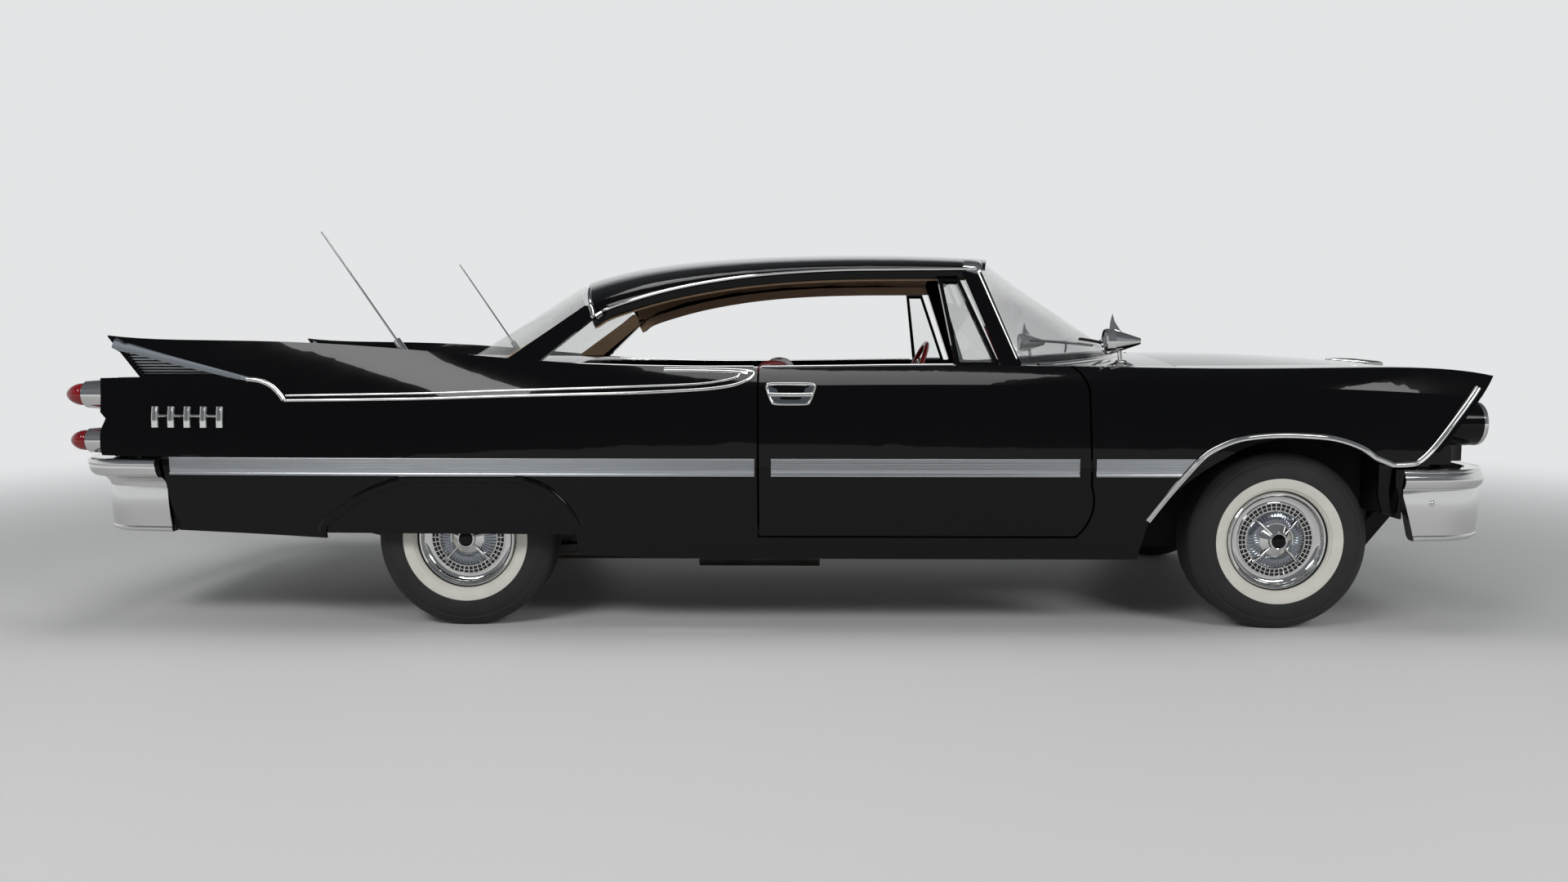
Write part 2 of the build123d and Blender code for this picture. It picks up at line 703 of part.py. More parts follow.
# Columns: x low, x high, y low, y high, z low, z high, on the left rail
RAIL_FITTINGS = [
    (FRONT_EYE_X, FRONT_EYE_X + 60, RAIL_OUT - 10, SPRING_Y[1] + 10, 225.0, 300.0),
    (REAR_EYE_X - 60, REAR_EYE_X, RAIL_OUT - 10, SPRING_Y[1] + 10, 335.0, 410.0),
    (1080.0, 1140.0, RAIL_IN + 10, RAIL_OUT - 10, 290.0, FLOOR_Z - SEAT_GAP),
    (270.0, 330.0, RAIL_IN + 10, RAIL_OUT - 10, 290.0, FLOOR_Z - SEAT_GAP),
    (-560.0, -500.0, RAIL_IN + 10, RAIL_OUT - 10, 290.0, FLOOR_Z - SEAT_GAP),
    (-1200.0, -1140.0, RAIL_IN + 10, RAIL_OUT - 10, 470.0, TRUNK_Z - SEAT_GAP),
    (-2260.0, -2200.0, RAIL_IN + 10, RAIL_OUT - 10, 400.0, TRUNK_Z - SEAT_GAP),
]
LIFT_PAD_X = (1150.0, -600.0)
LIFT_PAD_Z = 205.0
with BuildPart() as rail:
    extrude(outline_face(along(RAIL_IN), [p + (0.0,) for p in RAIL_PROFILE]), amount=RAIL_IN - RAIL_OUT)
    for row in RAIL_FITTINGS:
        add_box(*row)
    for x in LIFT_PAD_X:
        add_box(x - 70, x + 70, RAIL_IN + 5, RAIL_OUT - 5, LIFT_PAD_Z, 230)
# Engine with gearbox, as plain blocks, the propeller shaft and the live rear axle on leaf springs
with BuildPart() as engine:
    add_box(1262, 2130, -260, 260, RAIL_TOP_Z + SEAT_GAP, 800)
    rod((880, 0, SHAFT_Z), (1300, 0, SHAFT_Z), 100)
save(engine.part, "engine")
DIFF_R = 145.0
with BuildPart() as drive_shaft:
    rod((REAR_AXLE_X + DIFF_R + SEAT_GAP, 0, TYRE_R), (880 - SEAT_GAP, 0, SHAFT_Z), 38)
save(drive_shaft.part, "drive_shaft")
AXLE_TUBE_R = 42.0
REAR_HUB_Y = REAR_TRACK / 2
FRONT_HUB_Y = FRONT_TRACK / 2
HUB_FACE = 45.0
PLATE_GAP = 6.0
with BuildPart() as half_axle:
    rod((REAR_AXLE_X, -20, TYRE_R), (REAR_AXLE_X, REAR_HUB_Y - HUB_FACE - 20, TYRE_R), AXLE_TUBE_R)
    rod(
        (REAR_AXLE_X, REAR_HUB_Y - HUB_FACE - 16, TYRE_R),
        (REAR_AXLE_X, REAR_HUB_Y - HUB_FACE - PLATE_GAP, TYRE_R),
        130,
    )
    rod((REAR_AXLE_X, REAR_HUB_Y - HUB_FACE - 30, TYRE_R), (REAR_AXLE_X, REAR_HUB_Y + 8, TYRE_R), SPINDLE_R)
    extrude(
        outline_face(
            along(SPRING_Y[0]),
            [
                (FRONT_EYE_X - SEAT_GAP, 292.0, 0.0),
                (FRONT_EYE_X - SEAT_GAP, 262.0, 60.0),
                (REAR_EYE_X + SEAT_GAP, 345.0, 0.0),
                (REAR_EYE_X + SEAT_GAP, 375.0, -60.0),
            ],
        ),
        amount=SPRING_Y[0] - SPRING_Y[1],
    )
    add_box(REAR_AXLE_X - 60, REAR_AXLE_X + 60, SPRING_Y[0], SPRING_Y[1], 255, 320)
with BuildPart() as rear_axle:
    add(half_axle.part)
    mirror(about=Plane.XZ)
    with Locations((REAR_AXLE_X, 0, TYRE_R)):
        Sphere(DIFF_R)
save(rear_axle.part, "rear_axle")

# Front suspension arms on the frame, and the knuckles that steer between them
ARM_TOP = (484.0, 500.0)
ARM_LOW = (200.0, 216.0)
ARM_EYE_R = 22.0
POST_R = 18.0
with BuildPart() as suspension_side:
    add_box(FRONT_AXLE_X - 90, FRONT_AXLE_X + 90, RAIL_OUT + SEAT_GAP, 462, ARM_LOW[0], ARM_TOP[1])
    for low, high in (ARM_TOP, ARM_LOW):
        arm = plan_face(
            [
                (FRONT_AXLE_X - 80, 450.0),
                (FRONT_AXLE_X + 80, 450.0),
                (FRONT_AXLE_X + ARM_EYE_R, KINGPIN_Y),
                (FRONT_AXLE_X - ARM_EYE_R, KINGPIN_Y),
            ],
            low,
        )
        extrude(arm, amount=high - low)
        rod((FRONT_AXLE_X, KINGPIN_Y, low), (FRONT_AXLE_X, KINGPIN_Y, high), ARM_EYE_R)
save(both_sides(suspension_side.part), "front_suspension")
with BuildPart() as knuckle:
    rod(
        (FRONT_AXLE_X, KINGPIN_Y, ARM_LOW[1] + SEAT_GAP),
        (FRONT_AXLE_X, KINGPIN_Y, ARM_TOP[0] - SEAT_GAP),
        POST_R,
    )
    rod((FRONT_AXLE_X, KINGPIN_Y, TYRE_R), (FRONT_AXLE_X, FRONT_HUB_Y + 8, TYRE_R), SPINDLE_R)
    rod((FRONT_AXLE_X, KINGPIN_Y, TYRE_R), (FRONT_AXLE_X, FRONT_HUB_Y - HUB_FACE - 12, TYRE_R), 45)
    rod(
        (FRONT_AXLE_X, FRONT_HUB_Y - HUB_FACE - 18, TYRE_R),
        (FRONT_AXLE_X, FRONT_HUB_Y - HUB_FACE - PLATE_GAP, TYRE_R),
        130,
    )
save_pair(knuckle.part, "knuckle")

# Wheels and tyres, turned about the axle. Columns: radius, distance outwards from the wheel's middle, sagitta
TYRE_PROFILE = [
    (BEAD_R, -68.0, -9.0),
    (262.0, -TYRE_WIDTH / 2, -10.0),
    (324.0, -84.0, -4.0),
    (TYRE_R, -TREAD_WIDTH / 2 + 8, 0.0),
    (TYRE_R, TREAD_WIDTH / 2 - 8, -4.0),
    (324.0, 84.0, -10.0),
    (262.0, TYRE_WIDTH / 2, -9.0),
    (BEAD_R, 68.0, 0.0),
]
WHEEL_PROFILE = [
    (0.0, 88.0, 0.0),
    (0.0, 12.0, 0.0),
    (SPINDLE_R + RUNNING_GAP, 12.0, 0.0),
    (SPINDLE_R + RUNNING_GAP, -HUB_FACE, 0.0),
    (DRUM_R, -HUB_FACE, 0.0),
    (DRUM_R, 20.0, 0.0),
    (RIM_R - RIM_WALL, 20.0, 0.0),
    (RIM_R - RIM_WALL, -78.0, 0.0),
    (RIM_R, -78.0, 0.0),
    (RIM_R, 60.0, -3.0),
    (176.0, 72.0, 10.0),
    (142.0, 50.0, 0.0),
    (112.0, 50.0, -8.0),
    (62.0, 62.0, 0.0),
    (COVER_CAP_R, 80.0, 0.0),
]


def turned(profile, x, hub_y):
    """A profile turned about the axle at (x, hub_y), with outwards to the left."""
    plane = Plane(origin=(x, hub_y, TYRE_R), x_dir=(1, 0, 0), z_dir=(0, 0, 1))
    with BuildPart() as ring:
        revolve(outline_face(plane, profile), axis=Axis((x, hub_y, TYRE_R), (0, 1, 0)))
    return ring.part


for place, x, hub_y in (("front", FRONT_AXLE_X, FRONT_HUB_Y), ("rear", REAR_AXLE_X, REAR_HUB_Y)):
    save_pair(turned(TYRE_PROFILE, x, hub_y), f"tyre_{place}")
    save_pair(turned(WHEEL_PROFILE, x, hub_y), f"wheel_{place}")

# Bumpers: bent bars that wrap round the corners. Columns: outwards, z, sagitta
FRONT_BAR = [
    (-34.0, 622.0, 0.0),
    (-34.0, 556.0, 0.0),
    (-14.0, 548.0, 0.0),
    (-40.0, 372.0, 0.0),
    (-30.0, 358.0, 0.0),
    (-8.0, 358.0, 10.0),
    (12.0, 380.0, 4.0),
    (16.0, 546.0, -3.0),
    (22.0, 556.0, 10.0),
    (22.0, 612.0, 6.0),
    (6.0, 622.0, 0.0),
]
REAR_BAR = [
    (-60.0, 655.0, 0.0),
    (-60.0, 566.0, 0.0),
    (-78.0, 552.0, 0.0),
    (-96.0, 392.0, 0.0),
    (-88.0, 376.0, 0.0),
    (-66.0, 376.0, 10.0),
    (-48.0, 396.0, 4.0),
    (-44.0, 548.0, -12.0),
    (10.0, 590.0, 6.0),
    (28.0, 630.0, 12.0),
    (8.0, 655.0, 0.0),
]


def swept_bar(ends, corner, middle_x, corner_r, bow_r, bar):
    """Sweeps a bar along a bowed path in plan, from one end of the bumper round both corners to the other."""
    side = 1 if middle_x > 0 else -1
    with BuildPart() as swept:
        with BuildLine() as path:
            FilletPolyline(
                (ends[0], side * ends[1]),
                (corner[0], side * corner[1]),
                (middle_x, 0),
                (corner[0], -side * corner[1]),
                (ends[0], -side * ends[1]),
                radius=(corner_r, bow_r, corner_r),
            )
        heading = path.line % 0
        outward = Vector(0, 0, 1).cross(heading)
        with BuildSketch(Plane(origin=path.line @ 0, x_dir=outward, z_dir=heading)):
            with BuildLine():
                for (u, v, bow), (u_next, v_next, _) in zip(bar, bar[1:] + bar[:1]):
                    if bow:
                        SagittaArc((u, v), (u_next, v_next), -bow)
                    else:
                        Line((u, v), (u_next, v_next))
            make_face()
        sweep(path=path.line, transition=Transition.TRANSFORMED)
    return swept.part


PLATE_BOLT_R = 3.5
PLATE_BOLT_PITCH = 178.0
PLATE_HALF = 165.0


def plate_pad(face_x, depth, bolt_z):
    """A flat pad for a number plate with its two bolt holes."""
    back_x = face_x - depth
    add_box(min(face_x, back_x), max(face_x, back_x), -PLATE_HALF, PLATE_HALF, bolt_z - 90, bolt_z + 20)
    for y in (-PLATE_BOLT_PITCH / 2, PLATE_BOLT_PITCH / 2):
        rod((face_x + depth, y, bolt_z), (face_x - 3 * depth, y, bolt_z), PLATE_BOLT_R, mode=Mode.SUBTRACT)


with BuildPart() as front_bumper:
    add(swept_bar((2290.0, 962.0), (2640.0, 936.0), 2745.0, 240.0, 3600.0, FRONT_BAR))
    extrude(
        side_face([(2200.0, 660.0), (2281.0, 640.0), (2281.0, 562.0), (2348.0, 340.0), (2200.0, 340.0)]),
        amount=HALF,
        both=True,
        mode=Mode.SUBTRACT,
    )
    plate_pad(2752.0, 40.0, 500.0)
save(front_bumper.part, "front_bumper")
with BuildPart() as rear_bumper:
    add(swept_bar((-2300.0, 968.0), (-2640.0, 930.0), -2735.0, 220.0, 3600.0, REAR_BAR))
    extrude(
        side_face([(-2326.0, 700.0), (-2300.0, 300.0), (-2200.0, 300.0), (-2200.0, 700.0)]),
        amount=HALF,
        both=True,
        mode=Mode.SUBTRACT,
    )
    plate_pad(-2684.0, -40.0, 500.0)
save(rear_bumper.part, "rear_bumper")
with BuildPart() as chassis_frame:
    add(rail.part)
    mirror(about=Plane.XZ)
    for row in CROSSMEMBERS:
        add_box(*row)
    add(front_bumper.part, mode=Mode.SUBTRACT)
    add(rear_bumper.part, mode=Mode.SUBTRACT)
save(chassis_frame.part, "chassis_frame")

# Front end: grille, nose panel, lamp housings and lamps
GRILLE_X = 2600.0
GRILLE_HALF = 527.7
GRILLE_Z = (640.0, 885.0)
GRILLE_MID_Z = sum(GRILLE_Z) / 2
with BuildPart() as grille:
    with BuildSketch(across(GRILLE_X)):
        with Locations((0, GRILLE_MID_Z)):
            Rectangle(2 * GRILLE_HALF, GRILLE_Z[1] - GRILLE_Z[0])
            Rectangle(2 * GRILLE_HALF - 32, GRILLE_Z[1] - GRILLE_Z[0] - 32, mode=Mode.SUBTRACT)
            with GridLocations(0, 30, 1, 7):
                Rectangle(2 * GRILLE_HALF - 10, 8)
            with GridLocations(76, 0, 13, 1):
                Rectangle(8, GRILLE_Z[1] - GRILLE_Z[0] - 10)
    extrude(amount=16)
save(grille.part, "grille")
# Columns: x, half width, edge z, centre z, thickness
NOSE_SECTIONS = [(2618.0, 689.7, 946.0, 990.0, 52.0), (2650.0, 689.7, 926.0, 966.0, 34.0)]
with BuildPart() as nose_panel:
    loft(sections=[crown_face(*row) for row in NOSE_SECTIONS])
save(nose_panel.part, "nose_panel")
LAMP_Y = (612.0, 786.0)
LAMP_Z = 785.0
LAMP_R = 74.0
BEZEL_R = 84.0
LAMP_FACE_X = 2652.0
LAMP_BACK_X = 2380.0
LAMP_SEAT = 36.0
with BuildPart() as headlamp_housing:
    for y in LAMP_Y:
        rod((LAMP_BACK_X, y, LAMP_Z), (LAMP_FACE_X, y, LAMP_Z), BEZEL_R)
    add_box(LAMP_BACK_X, LAMP_FACE_X - 30, LAMP_Y[0], LAMP_Y[1], 700, LAMP_Z + 50)
    corner = plan_face(
        [
            (LAMP_BACK_X, 528.0),
            (LAMP_BACK_X, 866.0),
            (LAMP_FACE_X - 130, 866.0, -40.0),
            (LAMP_FACE_X - 10, 720.0),
            (LAMP_FACE_X - 10, 528.0),
        ],
        634,
    )
    extrude(corner, amount=72)
    for y in LAMP_Y:
        rod((LAMP_FACE_X - LAMP_SEAT, y, LAMP_Z), (LAMP_FACE_X + 10, y, LAMP_Z), LAMP_R, mode=Mode.SUBTRACT)
save(both_sides(headlamp_housing.part), "headlamp_housings")


def turned_along(profile, x, y, z, side):
    """A profile of (distance along, radius, sagitta) turned about a lengthwise axis."""
    plane = Plane(origin=(x, y, z), x_dir=(side, 0, 0), z_dir=(0, -side, 0))
    with BuildPart() as ring:
        revolve(outline_face(plane, profile), axis=Axis((x, y, z), (1, 0, 0)))
    return ring.part


with BuildPart() as headlamp:
    for y in LAMP_Y:
        profile = [
            (SEAT_GAP, 0.0, 0.0),
            (LAMP_SEAT - 4, 0.0, 0.0),
            (LAMP_SEAT - 18, LAMP_R - SEAT_GAP, 0.0),
            (SEAT_GAP, LAMP_R - SEAT_GAP, 0.0),
        ]
        add(turned_along(profile, LAMP_FACE_X - LAMP_SEAT, y, LAMP_Z, 1))
save(both_sides(headlamp.part), "headlamps")

# Tail: panel under the trunk lid, lamp sleeves and lenses
with BuildPart() as tail_panel:
    add_box(-2338, -2318.6, -865, 865, 420, 690)
    add_box(-2500, -2330, -735, 735, 670, 690)
    add_box(-2519.7, -2500, -735, 735, 575, 690)
    add(rear_quarter.part, mode=Mode.SUBTRACT)
    mirror(rear_quarter.part, about=Plane.XZ, mode=Mode.SUBTRACT)
save(tail_panel.part, "tail_panel")
# Columns: y, z, sleeve radius, sleeve length, lens radius, lens tip
TAIL_LAMPS = [(812.0, 893.0, 60.0, 96.0, 42.0, 182.4), (812.0, 716.0, 55.0, 92.0, 38.0, 174.0)]
LENS_SEAT = 20.0
with BuildPart() as lamp_sleeve:
    for y, z, r, length, lens_r, tip in TAIL_LAMPS:
        profile = [
            (SEAT_GAP, 0.0, 0.0),
            (length - LENS_SEAT, 0.0, 0.0),
            (length - LENS_SEAT, lens_r + SEAT_GAP, 0.0),
            (length, lens_r + SEAT_GAP, 0.0),
            (length, r - 8, 0.0),
            (SEAT_GAP, r, 0.0),
        ]
        add(turned_along(profile, NACELLE_REAR_X, y, z, -1))
save(both_sides(lamp_sleeve.part), "tail_lamp_sleeves")
with BuildPart() as lamp_lens:
    for y, z, r, length, lens_r, tip in TAIL_LAMPS:
        profile = [
            (length - LENS_SEAT + SEAT_GAP, 0.0, 0.0),
            (tip, 0.0, -14.0),
            (length + 10, lens_r, 0.0),
            (length - LENS_SEAT + SEAT_GAP, lens_r, 0.0),
        ]
        add(turned_along(profile, NACELLE_REAR_X, y, z, -1))
save(both_sides(lamp_lens.part), "tail_lamp_lenses")

# Radiator, fuel tank and twin exhaust
with BuildPart() as radiator:
    add_box(2330, 2390, -330, 330, RAIL_TOP_Z + SEAT_GAP, 870)
save(radiator.part, "radiator")
with BuildPart() as fuel_tank:
    add_box(-2300, -1760, -340, 340, 345, TRUNK_Z - SEAT_GAP)
    fillet(fuel_tank.edges().filter_by(Axis.Z), 40)
save(fuel_tank.part, "fuel_tank")
PIPE_Y = 250.0
PIPE_Z = 180.0
PIPE_END_X = -1690.0
with BuildPart() as exhaust_side:
    rod((1500, PIPE_Y, PIPE_Z), (PIPE_END_X, PIPE_Y, PIPE_Z), 25)
    rod((160, PIPE_Y, PIPE_Z), (-360, PIPE_Y, PIPE_Z), 55)
    rod((1500, PIPE_Y, PIPE_Z), (1500, PIPE_Y, RAIL_TOP_Z), 25)
    for low, high, top in ((690, 710, 215), (-410, -390, 215)):
        add_box(low, high, PIPE_Y - 8, PIPE_Y + 8, PIPE_Z, top - SEAT_GAP)
save(both_sides(exhaust_side.part), "exhaust")

# Seats: benches with plain cushions. Columns: x, z, sagitta
SEAT_BASE_Z = FLOOR_Z + FLOOR_SHEET + SEAT_GAP
FRONT_SEAT = [
    (470.0, SEAT_BASE_Z, 0.0),
    (500.0, 520.0, 24.0),
    (440.0, 575.0, 14.0),
    (60.0, 545.0, 8.0),
    (40.0, 1000.0, 20.0),
    (-30.0, 1000.0, 10.0),
    (-110.0, SEAT_BASE_Z + 60, 0.0),
    (-90.0, SEAT_BASE_Z, 0.0),
]
REAR_SEAT = [
    (-250.0, SEAT_BASE_Z, 0.0),
    (-230.0, 520.0, 24.0),
    (-290.0, 570.0, 14.0),
    (-590.0, 540.0, 8.0),
    (-690.0, 960.0, 18.0),
    (-760.0, 968.0, 0.0),
    (-784.0, SEAT_BASE_Z, 0.0),
]
for name, outline, half in (("front_seat", FRONT_SEAT, 680.0), ("rear_seat", REAR_SEAT, 600.0)):
    with BuildPart() as seat:
        extrude(outline_face(along(), [(x, z, bow) for x, z, bow in outline]), amount=half, both=True)
        rod((-1000, 0, SHAFT_Z), (1000, 0, SHAFT_Z), TUNNEL_R + FLOOR_SHEET + 4, mode=Mode.SUBTRACT)
    save(seat.part, name)

# Steering column and wheel, on a sloping axis
STEER_Y = 370.0
STEER_TOP = Vector(600, STEER_Y, 900)
STEER_DIR = Vector(-0.92, 0, 0.39).normalized()
STEER_RIM_R = 205.0
STEER_TUBE_R = 12.0
column_end = STEER_TOP - STEER_DIR * 30
column_foot = STEER_TOP - STEER_DIR * 330
pin_end = STEER_TOP + STEER_DIR * 10
with BuildPart() as steering_column:
    rod(tuple(column_foot), tuple(column_end), 26)
    rod(tuple(column_end - STEER_DIR * 5), tuple(pin_end), 10)
    add(dashboard.part, mode=Mode.SUBTRACT)
save(steering_column.part, "steering_column")
rim_plane = Plane(
    origin=STEER_TOP + Vector(0, STEER_RIM_R, 0),
    x_dir=(0, 1, 0),
    z_dir=STEER_DIR.cross(Vector(0, 1, 0)),
)
with BuildPart() as steering_wheel:
    with BuildSketch(rim_plane):
        Circle(STEER_TUBE_R)
    revolve(axis=Axis(tuple(STEER_TOP), tuple(STEER_DIR)))
    rod(tuple(STEER_TOP - STEER_DIR * 24), tuple(STEER_TOP + STEER_DIR * 22), 38)
    rod(tuple(STEER_TOP + Vector(0, 8 - STEER_RIM_R, 0)), tuple(STEER_TOP + Vector(0, STEER_RIM_R - 8, 0)), 9)
    rod(
        tuple(STEER_TOP - STEER_DIR * 30),
        tuple(STEER_TOP + STEER_DIR * 12),
        10 + RUNNING_GAP,
        mode=Mode.SUBTRACT,
    )
save(steering_wheel.part, "steering_wheel")

# Mirrors on the front fenders and aerials on the fins, each seated on its panel
MIRROR_X = 1279.0
MIRROR_Y = 862.0
with BuildPart() as mirror_side:
    rod((MIRROR_X, MIRROR_Y, 985), (MIRROR_X, MIRROR_Y, 1008), 30)
    rod((MIRROR_X, MIRROR_Y, 1005), (MIRROR_X - 10, MIRROR_Y, 1090), 9)
    rod((MIRROR_X - 58, MIRROR_Y, 1096), (MIRROR_X - 30, MIRROR_Y, 1096), 46)
    loft(
        sections=[
            disc(across(MIRROR_X - 30), MIRROR_Y, 1096, 46),
            disc(across(MIRROR_X + 70), MIRROR_Y, 1096, 12),
        ]
    )
    add(front_fender.part, mode=Mode.SUBTRACT)
save(both_sides(main_solid(mirror_side.part)), "fender_mirrors")
AERIAL_FOOT = (-1411.0, 880.0, 1052.0)
AERIAL_TIP = (-1716.0, 880.0, 1504.0)
with BuildPart() as aerial_side:
    rod(AERIAL_FOOT, AERIAL_TIP, 4)
    lean = Vector(*AERIAL_TIP) - Vector(*AERIAL_FOOT)
    rod(AERIAL_FOOT, tuple(Vector(*AERIAL_FOOT) + lean.normalized() * 60), 14)
    add(rear_quarter.part, mode=Mode.SUBTRACT)
save(both_sides(main_solid(aerial_side.part)), "antennas")
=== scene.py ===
"""Looks for a late-1950s two-door hardtop car: paint, chrome, brightwork, tyres, cabin and studio."""

import json
import math

import bpy
from mathutils import Matrix, Vector


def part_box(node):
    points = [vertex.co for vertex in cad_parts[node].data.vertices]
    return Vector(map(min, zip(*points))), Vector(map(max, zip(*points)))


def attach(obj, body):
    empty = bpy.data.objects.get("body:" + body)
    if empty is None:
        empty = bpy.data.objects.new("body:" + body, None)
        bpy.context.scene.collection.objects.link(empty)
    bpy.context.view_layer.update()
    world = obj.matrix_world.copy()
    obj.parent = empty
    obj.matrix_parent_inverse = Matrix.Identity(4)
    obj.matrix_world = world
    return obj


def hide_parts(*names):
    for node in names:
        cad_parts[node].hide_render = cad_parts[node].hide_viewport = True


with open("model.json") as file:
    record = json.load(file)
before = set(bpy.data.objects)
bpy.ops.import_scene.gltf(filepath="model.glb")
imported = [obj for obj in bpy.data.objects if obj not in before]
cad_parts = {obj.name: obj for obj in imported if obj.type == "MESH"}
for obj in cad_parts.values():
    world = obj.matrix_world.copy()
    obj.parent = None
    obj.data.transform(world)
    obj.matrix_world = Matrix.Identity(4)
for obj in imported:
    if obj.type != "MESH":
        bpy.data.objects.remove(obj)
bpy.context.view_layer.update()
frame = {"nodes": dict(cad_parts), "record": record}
NODES = frame["nodes"]

# Sizes in metres, in the car's frame: +X forward, +Y left, +Z up
FORWARD = Vector((1, 0, 0))
OUTWARD = Vector((0, 1, 0))
UPWARD = Vector((0, 0, 1))
FRONT_AXLE_X = 1.890
REAR_AXLE_X = -1.209
AXLE_Z = 0.340
FRONT_HUB_Y = 0.775
REAR_HUB_Y = 0.760
WHEELS = {
    "front_left": (FRONT_AXLE_X, FRONT_HUB_Y, 1),
    "front_right": (FRONT_AXLE_X, -FRONT_HUB_Y, -1),
    "rear_left": (REAR_AXLE_X, REAR_HUB_Y, 1),
    "rear_right": (REAR_AXLE_X, -REAR_HUB_Y, -1),
}
SIDES = (("left", 1), ("right", -1))
BODY = ("body", "body")
DOORS = ("door_left", "door_right")


# Materials

# Textures for a relief: the node and the output that gives its height
NOISE = ("ShaderNodeTexNoise", "Fac")
CELLS = ("ShaderNodeTexVoronoi", "Distance")
WAVES = ("ShaderNodeTexWave", "Fac")
WAVE_MM = 314  # a wave texture of scale 1 repeats after 314 mm


def linear(hex_colour):
    """An sRGB hex colour as linear RGBA."""
    channels = [int(hex_colour[i : i + 2], 16) / 255 for i in (1, 3, 5)]
    return [c / 12.92 if c <= 0.04045 else ((c + 0.055) / 1.055) ** 2.4 for c in channels] + [1.0]


def per_metre(millimetres):
    """A noise or cell texture's scale, from the size of one of its cells."""
    return 1000 / millimetres


def node(owner, kind, links=None, to=None, **settings):
    """Adds a shader node: settings name its properties or inputs, links feed inputs, to is what it feeds."""
    tree = owner.node_tree
    added = tree.nodes.new(kind)
    for key, value in settings.items():
        name = key.replace("_", " ")
        if name in added.inputs:
            added.inputs[name].default_value = value
        else:
            setattr(added, key, value)
    for name, source in (links or {}).items():
        tree.links.new(added.inputs[name], source)
    if to:
        tree.links.new(to, next(output for output in added.outputs if output.enabled))
    return added


def shader_inputs(material):
    return material.node_tree.nodes["Principled BSDF"].inputs


def surface(name, colour, relief=None, haze=None, tones=None, **sockets):
    """A material with its shader's own sockets set and up to three patterns.

    relief: a texture, its settings, and the bump's strength and height in metres
    haze: a noise's settings, and the lowest and highest value in and out that make roughness of it
    tones: a noise's settings and the two colours that it mixes
    """
    material = bpy.data.materials.new(name)
    material.use_nodes = True
    inputs = shader_inputs(material)
    for key, value in sockets.items():
        inputs[key.replace("_", " ")].default_value = value
    inputs["Base Color"].default_value = linear(colour)
    here = {"Vector": node(material, "ShaderNodeTexCoord").outputs["Object"]}
    if relief:
        (kind, output), pattern, strength, height = relief
        source = {"Height": node(material, kind, here, **pattern).outputs[output]}
        node(material, "ShaderNodeBump", source, inputs["Normal"], Strength=strength, Distance=height)
    if haze:
        pattern, span = haze
        source = {"Value": node(material, "ShaderNodeTexNoise", here, **pattern).outputs["Fac"]}
        span = dict(zip(("From_Min", "From_Max", "To_Min", "To_Max"), span))
        node(material, "ShaderNodeMapRange", source, inputs["Roughness"], **span)
    if tones:
        pattern, first, second = tones
        source = {"Factor": node(material, "ShaderNodeTexNoise", here, **pattern).outputs["Fac"]}
        colours = {"data_type": "RGBA", "A": linear(first), "B": linear(second)}
        node(material, "ShaderNodeMix", source, inputs["Base Color"], **colours)
    return material


def black_enamel():
    """Baked enamel, sprayed and polished: deep black with a faint orange peel in the clear reflection."""
    peel = {"Scale": per_metre(4.545), "Detail": 2.0}
    dust = {"Scale": per_metre(333.3), "Detail": 8.0, "Roughness": 0.65}
    haze = (dust, (0.35, 0.75, 0.11, 0.22))
    coat = {"Coat_Weight": 1.0, "Coat_Roughness": 0.02, "Coat_IOR": 1.27, "Specular_IOR_Level": 0.05}
    return surface("gloss_black_enamel", "#030304", (NOISE, peel, 0.03, 0.0006), haze, Roughness=0.2, **coat)


def plated_chrome():
    """Polished chromium plate: near-mirror, neutral in this light, with a soft haze from handling."""
    haze = ({"Scale": per_metre(111.1), "Detail": 6.0}, (0.3, 0.8, 0.035, 0.11))
    return surface("plated_chrome", "#d6d6d5", haze=haze, Metallic=1.0, Roughness=0.06)


def painted_shade_chrome():
    """Painted shade: the same chromium plate a stop darker, for chrome seen in a shaded moulding."""
    haze = ({"Scale": per_metre(71.43), "Detail": 5.0}, (0.0, 1.0, 0.08, 0.2))
    return surface("chrome_darkened_as_painted_shade", "#8f949b", haze=haze, Metallic=1.0, Roughness=0.12)


def brushed_aluminium():
    """Anodised aluminium strip, brushed lengthwise, with a soft wave every 10 mm across its modelled ribs."""
    bands = {"wave_type": "BANDS", "bands_direction": "Z", "Scale": WAVE_MM / 10}
    relief = (WAVES, bands, 0.6, 0.0012)
    material = surface("brushed_anodised_aluminium", "#b9bcbf", relief, Metallic=1.0, Roughness=0.3)
    # Brush marks, drawn coarse enough to show: their length along the car, their depth and their height
    marks = [per_metre(size) for size in (333.3, 25, 1.111)]
    here = node(material, "ShaderNodeTexCoord").outputs["Object"]
    stretched = node(material, "ShaderNodeMapping", {"Vector": here}, Scale=marks).outputs["Vector"]
    brushing = node(material, "ShaderNodeTexNoise", {"Vector": stretched}, Scale=1.0, Detail=3.0)
    grain = {"Value": brushing.outputs["Fac"]}
    roughness = shader_inputs(material)["Roughness"]
    node(material, "ShaderNodeMapRange", grain, roughness, To_Min=0.22, To_Max=0.42)
    return material


def tyre_rubber():
    """Vulcanised rubber: dull near-black with mould grit, drawn at 3 mm to show, and a trace of road dust."""
    mould = {"Scale": per_metre(3.333), "Detail": 4.0}
    tones = ({"Scale": per_metre(83.33), "Detail": 5.0}, "#131314", "#29282a")
    return surface("vulcanised_rubber", "#1a1a1b", (NOISE, mould, 0.25, 0.0008), tones=tones, Roughness=0.72)


